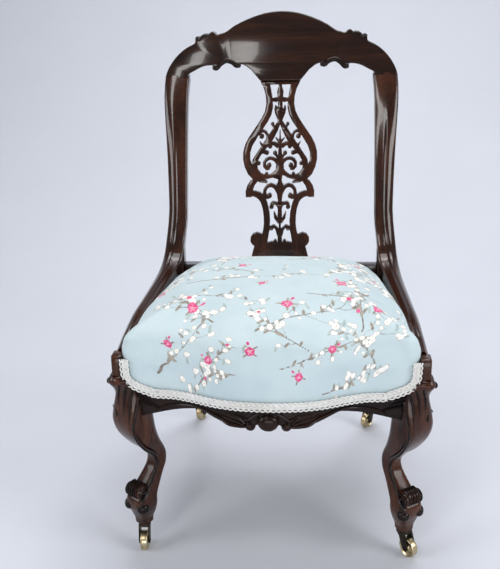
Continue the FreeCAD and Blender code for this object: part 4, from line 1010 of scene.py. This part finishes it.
for x, y, size, turn in ((-128, -150, 10, 0.4), (28, -158, 11, 1.1), (118, -70, 10, 2.0), (-60, 20, 8, 0.2),
                         (70, 95, 8, 0.9), (-140, 90, 8, 2.4), (-30, -255, 10, 1.7), (176, -150, 9, 0.3),
                         (-196, -60, 8, 1.4), (150, 60, 7, 2.9), (110, -240, 9, 1.0), (-110, -265, 9, 2.2),
                         (-180, -215, 8, 0.9), (62, -300, 9, 2.6), (-18, -80, 7, 0.7)):
    posy(x, y, size, turn)


CROWN_EDGE = 425.0
FAR_AWAY = 6.0


def paint(obj):
    """Writes the distances of the printed shapes into the cushion's points."""
    mesh = obj.data
    count = len(mesh.vertices)
    co = np.empty(count * 3, dtype=np.float64)
    mesh.vertices.foreach_get("co", co)
    co = co.reshape(-1, 3) * 1000
    # unroll: below the crown's edge the cloth carries on outwards by as much as it drops
    x, y, z = co[:, 0], co[:, 1] - SHIFT, co[:, 2]
    drop = np.clip(CROWN_EDGE - z, 0, None)
    radius = np.hypot(x, y - SEAT_MIDDLE_Y) + 1e-6
    u = x * (1 + drop / radius)
    v = y + (y - SEAT_MIDDLE_Y) * drop / radius
    for layer, shapes in SHAPES.items():
        field = np.full(count, FAR_AWAY)
        for shape in shapes:
            if shape[0] == "stroke":
                points, wide, fine = shape[1:]
                reach = 8.0
                xs, ys = [p[0] for p in points], [p[1] for p in points]
                near = np.nonzero((u > min(xs) - reach) & (u < max(xs) + reach)
                                  & (v > min(ys) - reach) & (v < max(ys) + reach))[0]
                for k in range(len(points) - 1):
                    (ax, ay), (bx, by) = points[k], points[k + 1]
                    dx, dy = bx - ax, by - ay
                    t = np.clip(((u[near] - ax) * dx + (v[near] - ay) * dy) / (dx * dx + dy * dy), 0, 1)
                    d = np.hypot(u[near] - ax - dx * t, v[near] - ay - dy * t)
                    share = (k + t) / (len(points) - 1)
                    field[near] = np.minimum(field[near], d - (wide + (fine - wide) * share))
                continue
            kind, cx, cy = shape[:3]
            reach = shape[3] * 1.5 + 6
            near = np.nonzero((abs(u - cx) < reach) & (abs(v - cy) < reach))[0]
            dx, dy = u[near] - cx, v[near] - cy
            if kind == "petals":
                size, turn, lobes, depth = shape[3:]
                angle = np.arctan2(dy, dx) - turn
                edge = size * (1 - depth + depth * np.abs(np.cos(angle * lobes / 2)) ** 0.7)
                d = np.hypot(dx, dy) - edge
            else:
                long, wide, turn = shape[3:]
                a = dx * math.cos(turn) + dy * math.sin(turn)
                b = -dx * math.sin(turn) + dy * math.cos(turn)
                d = (np.sqrt((a / long) ** 2 + (b / wide) ** 2) - 1) * wide
            field[near] = np.minimum(field[near], d)
        attribute = mesh.attributes.new(layer, "FLOAT", "POINT")
        attribute.data.foreach_set("value", field.astype(np.float32))


paint(cushion)
dress(cushion, PRINT, "frame", ("seat_cover", "seat_stuffing"), 70)

# Braid


def braid_path():
    """Middle of the braid, left to right, with the way it faces."""
    half = []
    for x, z in smooth(CLOTH_EDGE, 160):
        depth = front_y(min(x, 187)) - 3.0 + 2.5 * max(0.0, (x - 225) / 20) ** 2
        half.append((x - 4.0 * max(0.0, min(1.0, (x - 222) / 20)), depth,
                     z + 7 - 3.5 * max(0.0, min(1.0, (x - 225) / 18))))
    points = [(-x, y, z) for x, y, z in reversed(half[1:])] + half
    return resample(smooth(points[::4], 480), 480)


BRAID = braid_path()
# Section of the woven band: proud of the cloth, and up
BAND = ((0.0, -4.6), (1.1, -4.8), (1.5, -3.2), (1.3, -1.0), (1.3, 1.0), (1.5, 3.2), (1.1, 4.8), (0.0, 4.6))


def make_braid():
    """The woven band under the loops, and for each of its points the directions and the length so far."""
    braid = Builder()
    last = len(BRAID) - 1
    rings, frames = [], []
    length = 0.0
    for i, p in enumerate(BRAID):
        before, after = Vector(BRAID[max(i - 1, 0)]), Vector(BRAID[min(i + 1, last)])
        ahead = (after - before).normalized()
        out = Vector((ahead.y, -ahead.x, 0)).normalized()
        up = out.cross(ahead).normalized()
        if up.z < 0:
            up = -up
        here = Vector(p)
        if i:
            length += (here - Vector(BRAID[i - 1])).length
        rings.append([at(*(here + out * a + up * b)) for a, b in BAND])
        frames.append((here, ahead, out, up, length))
    braid.rings(rings)
    return braid, frames


braid, frames = make_braid()
total = frames[-1][4]


def braid_at(s):
    """Point and directions at a length along the braid."""
    share = min(max(s / total, 0), 1) * (len(frames) - 1)
    k = min(int(share), len(frames) - 2)
    t = share - k
    a, b = frames[k], frames[k + 1]
    return a[0].lerp(b[0], t), a[1], a[2], a[3]


PITCH = 8.6
loops = int(total / PITCH)
for sign in (-1, 1):
    path = []
    steps = loops * 14
    for k in range(steps + 1):
        s = total * k / steps
        phase = 2 * math.pi * k / 14
        here, ahead, out, up = braid_at(s + 2.6 * math.sin(phase))
        across = sign * (4.0 + 3.3 * math.cos(phase))
        path.append(at(*(here + up * across + out * (1.6 + 0.5 * math.sin(phase + 0.8)))))
    braid.tube(path, 0.0013, 6, up=(0, -1, 0.01))
for sign in (-1, 1):
    path = []
    steps = loops * 10
    for k in range(steps + 1):
        phase = 2 * math.pi * k / 20 + (math.pi if sign > 0 else 0)
        here, ahead, out, up = braid_at(total * k / steps)
        path.append(at(*(here + up * 1.5 * math.sin(phase) + out * (2.0 + 0.5 * math.cos(phase)))))
    braid.tube(path, 0.00095, 6, up=(0, -1, 0.01))
braid.make("gimp_braid", GIMP, slot="braid", replaces=("seat_braid",), angle=60)

# Webbing and hessian, seen from below


def woven_strap(builder, low, high, along, phase):
    """A strap that rises and falls by its own thickness as it crosses others."""
    steps = 48
    thick = (high.z - low.z)
    rings = []
    for k in range(steps + 1):
        t = k / steps
        lift = 0.35 * thick * math.sin(math.pi * 10 * t + phase) - 0.0001
        z0, z1 = low.z + lift + thick * 0.1, high.z + lift - thick * 0.1
        if along == "x":
            x = low.x + (high.x - low.x) * t
            start, end = (x, low.y), (x, high.y)
        else:
            y = low.y + (high.y - low.y) * t
            start, end = (low.x, y), (high.x, y)
        rings.append([Vector((*start, z0)), Vector((*end, z0)), Vector((*end, z1)), Vector((*start, z1))])
    builder.rings(rings)


def islands(node):
    """Boxes of the separate solids of a CAD node."""
    bm = bmesh.new()
    bm.from_mesh(NODES[node].data)
    bmesh.ops.remove_doubles(bm, verts=bm.verts, dist=1e-6)
    seen, boxes = set(), []
    for vertex in bm.verts:
        if vertex in seen:
            continue
        stack, group = [vertex], []
        seen.add(vertex)
        while stack:
            v = stack.pop()
            group.append(v.co.copy())
            for edge in v.link_edges:
                other = edge.other_vert(v)
                if other not in seen:
                    seen.add(other)
                    stack.append(other)
        boxes.append((Vector((min(p[i] for p in group) for i in range(3))),
                      Vector((max(p[i] for p in group) for i in range(3)))))
    bm.free()
    return boxes


for node, along in (("webbing_front_to_back", "y"), ("webbing_side_to_side", "x")):
    straps = Builder()
    for index, (low, high) in enumerate(islands(node)):
        woven_strap(straps, low, high, along, math.pi * (index % 2))
    straps.make(node.replace("webbing", "web_straps"), JUTE, slot="webbing", replaces=(node,), angle=60)

low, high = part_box("seat_hessian")
sheet = Builder()
outline = drawn_in(OUTLINE[::2], 0.985)
sheet.rings([[at(x, y, z * 1000) for x, y in outline] for z in (low.z, high.z)])
hessian = sheet.make("hessian_sheet", HESSIAN, slot="hessian", replaces=("seat_hessian",))

# Castors

FEET = {"front_left": (-229, -174, 4), "front_right": (229, -174, 38), "rear_left": (-196, 292, 160),
        "rear_right": (196, 292, -35)}
WHEEL_RADIUS, TRAIL = 17.5, 13.0
# radius and place along the axle, bore to tread, for one half of the wheel
WHEEL_HALF = [(2.55, -6.3), (4.6, -6.3), (5.6, -5.9), (6.2, -4.6), (8.5, -3.3), (11.5, -3.0), (13.8, -3.8),
              (15.2, -5.2), (16.2, -5.8), (16.95, -5.4), (17.3, -4.2), (17.5, -1.6)]
WHEEL = WHEEL_HALF + [(r, -w) for r, w in reversed(WHEEL_HALF)]
for corner, (x, y, turn) in FEET.items():
    a = math.radians(turn)
    across, trail = Vector((math.cos(a), math.sin(a), 0)), Vector((math.sin(a), -math.cos(a), 0))
    hub = Vector((x, y, WHEEL_RADIUS)) + trail * TRAIL
    wheel = Builder()
    rings = []
    for b in circle(48):
        spoke = turned(trail, HIGH, b)
        rings.append([at(*(hub + spoke * r + across * w)) for r, w in WHEEL])
    wheel.rings(rings + [rings[0]], False, False)
    made = wheel.make(f"brass_wheel_{corner}", BRASS, f"wheel_{corner}", "castor_brass",
                      (f"castor_wheel_{corner}",), 50)
    with edited(made.data) as bm:
        bmesh.ops.remove_doubles(bm, verts=bm.verts, dist=1e-7)
        bmesh.ops.recalc_face_normals(bm, faces=bm.faces)
    eased(f"castor_horn_{corner}", f"horn_{corner}", 0.0006, IRON, f"castor_{corner}")
    rivets = Builder()
    for k in (-1, 1):
        rivets.dome(at(*(hub + across * (9.8 * k))), across * k, HIGH, 0.0036, 0.0036, 0.0011, 4, 16)
    rivets.make(f"axle_heads_{corner}", IRON, f"castor_{corner}", "castor_iron")
NODES["castor_plates"].data.materials.clear()
NODES["castor_plates"].data.materials.append(IRON)

# Floor, light, camera


def pale(name, colour):
    g = Surface(name)
    mottled = g.noise(g.coords(), 3, 4, 0.55)
    g.set(Base_Color=g.ramp(mottled, (0.3, tuple(c * 0.97 for c in colour)), (0.7, colour)), Roughness=0.9,
          Specular_IOR_Level=0.1)
    return g.material


# A sheet of paper that lies on the floor and curves up behind the chair
CURVE_START, CURVE_RADIUS, CURVE_STEPS = 0.9, 2.4, 48
profile = [(-4.0, 0.0), (CURVE_START, 0.0)]
for k in range(1, CURVE_STEPS + 1):
    a = math.pi / 2 * k / CURVE_STEPS
    profile.append((CURVE_START + CURVE_RADIUS * math.sin(a), CURVE_RADIUS * (1 - math.cos(a))))
profile.append((CURVE_START + CURVE_RADIUS, 5.0))
paper = mesh_object("floor", [(x, y, z) for y, z in profile for x in (-5.0, 5.0)],
                    [(2 * i, 2 * i + 1, 2 * i + 3, 2 * i + 2) for i in range(len(profile) - 1)])
paper.data.polygons.foreach_set("use_smooth", [True] * len(paper.data.polygons))
paper.data.materials.append(pale("pale_paper", (0.66, 0.68, 0.745)))

# Pale beyond the paper's edge for the eye, a little brighter in the gloss, with no more light on the chair
WORLD_LIGHT, WORLD_GLOSS, WORLD_SEEN = 0.14, 0.12, 0.50
world = bpy.data.worlds.new("studio")
bpy.context.scene.world = world
world.use_nodes = True
air = Graph(world.node_tree)
rays = air.node("ShaderNodeLightPath").outputs
strength = air.math("MULTIPLY_ADD", rays["Is Glossy Ray"], WORLD_GLOSS, WORLD_LIGHT)
strength = air.math("MULTIPLY_ADD", rays["Is Camera Ray"], WORLD_SEEN, strength)
background = air.tree.nodes["Background"].inputs
air.give(background["Strength"], strength)
air.give(background["Color"], (0.92, 0.95, 1.0))


def lamp(name, place, target, wide, tall, power, colour=(1, 1, 1)):
    data = bpy.data.lights.new(name, "AREA")
    data.shape = "RECTANGLE"
    data.size, data.size_y = wide, tall
    data.energy = power
    data.color = colour
    obj = bpy.data.objects.new(name, data)
    obj.location = place
    obj.rotation_euler = (Vector(target) - Vector(place)).to_track_quat("-Z", "Y").to_euler()
    bpy.context.scene.collection.objects.link(obj)


lamp("window", (-0.74, -2.1, 2.45), (-0.2, 0.15, 0.75), 0.36, 1.25, 13, (1.0, 0.99, 0.97))
lamp("soft_left", (-2.6, -1.3, 1.5), (0, 0, 0.3), 1.5, 1.3, 34, (0.96, 0.98, 1.0))
lamp("soft_right", (2.5, -1.3, 1.6), (0, 0, 0.3), 1.7, 1.3, 46, (1.0, 1.0, 1.0))
lamp("front_low", (0.3, -3.1, 0.45), (0, 0, 0.2), 2.8, 0.6, 26, (1.0, 1.0, 1.0))
lamp("overhead", (0.15, 0.75, 2.9), (0, 0.1, 0), 1.9, 1.7, 46, (0.98, 0.99, 1.0))
lamp("backdrop", (0.3, 0.9, 2.9), (0.3, 2.6, 0.9), 2.4, 0.8, 22, (0.98, 0.99, 1.0))

camera = bpy.data.cameras.new("camera")
camera.lens = 53.87
camera.sensor_width = 36
camera.clip_end = 50
eye = bpy.data.objects.new("camera", camera)
bpy.context.scene.collection.objects.link(eye)
yaw, pitch, roll = math.radians(4.98), math.radians(18.929), math.radians(-1.328)
ahead = Vector((-math.sin(yaw) * math.cos(pitch), math.cos(yaw) * math.cos(pitch), -math.sin(pitch)))
level = Vector((math.cos(yaw), math.sin(yaw), 0))
up = level.cross(ahead)
right = level * math.cos(roll) + up * math.sin(roll)
top = up * math.cos(roll) - level * math.sin(roll)
turn = Matrix((right, top, -ahead)).transposed()
eye.matrix_world = Matrix.Translation((0.0816, -1.5159, 0.9376)) @ turn.to_4x4()
bpy.context.scene.camera = eye
bpy.context.scene.view_settings.view_transform = "Standard"
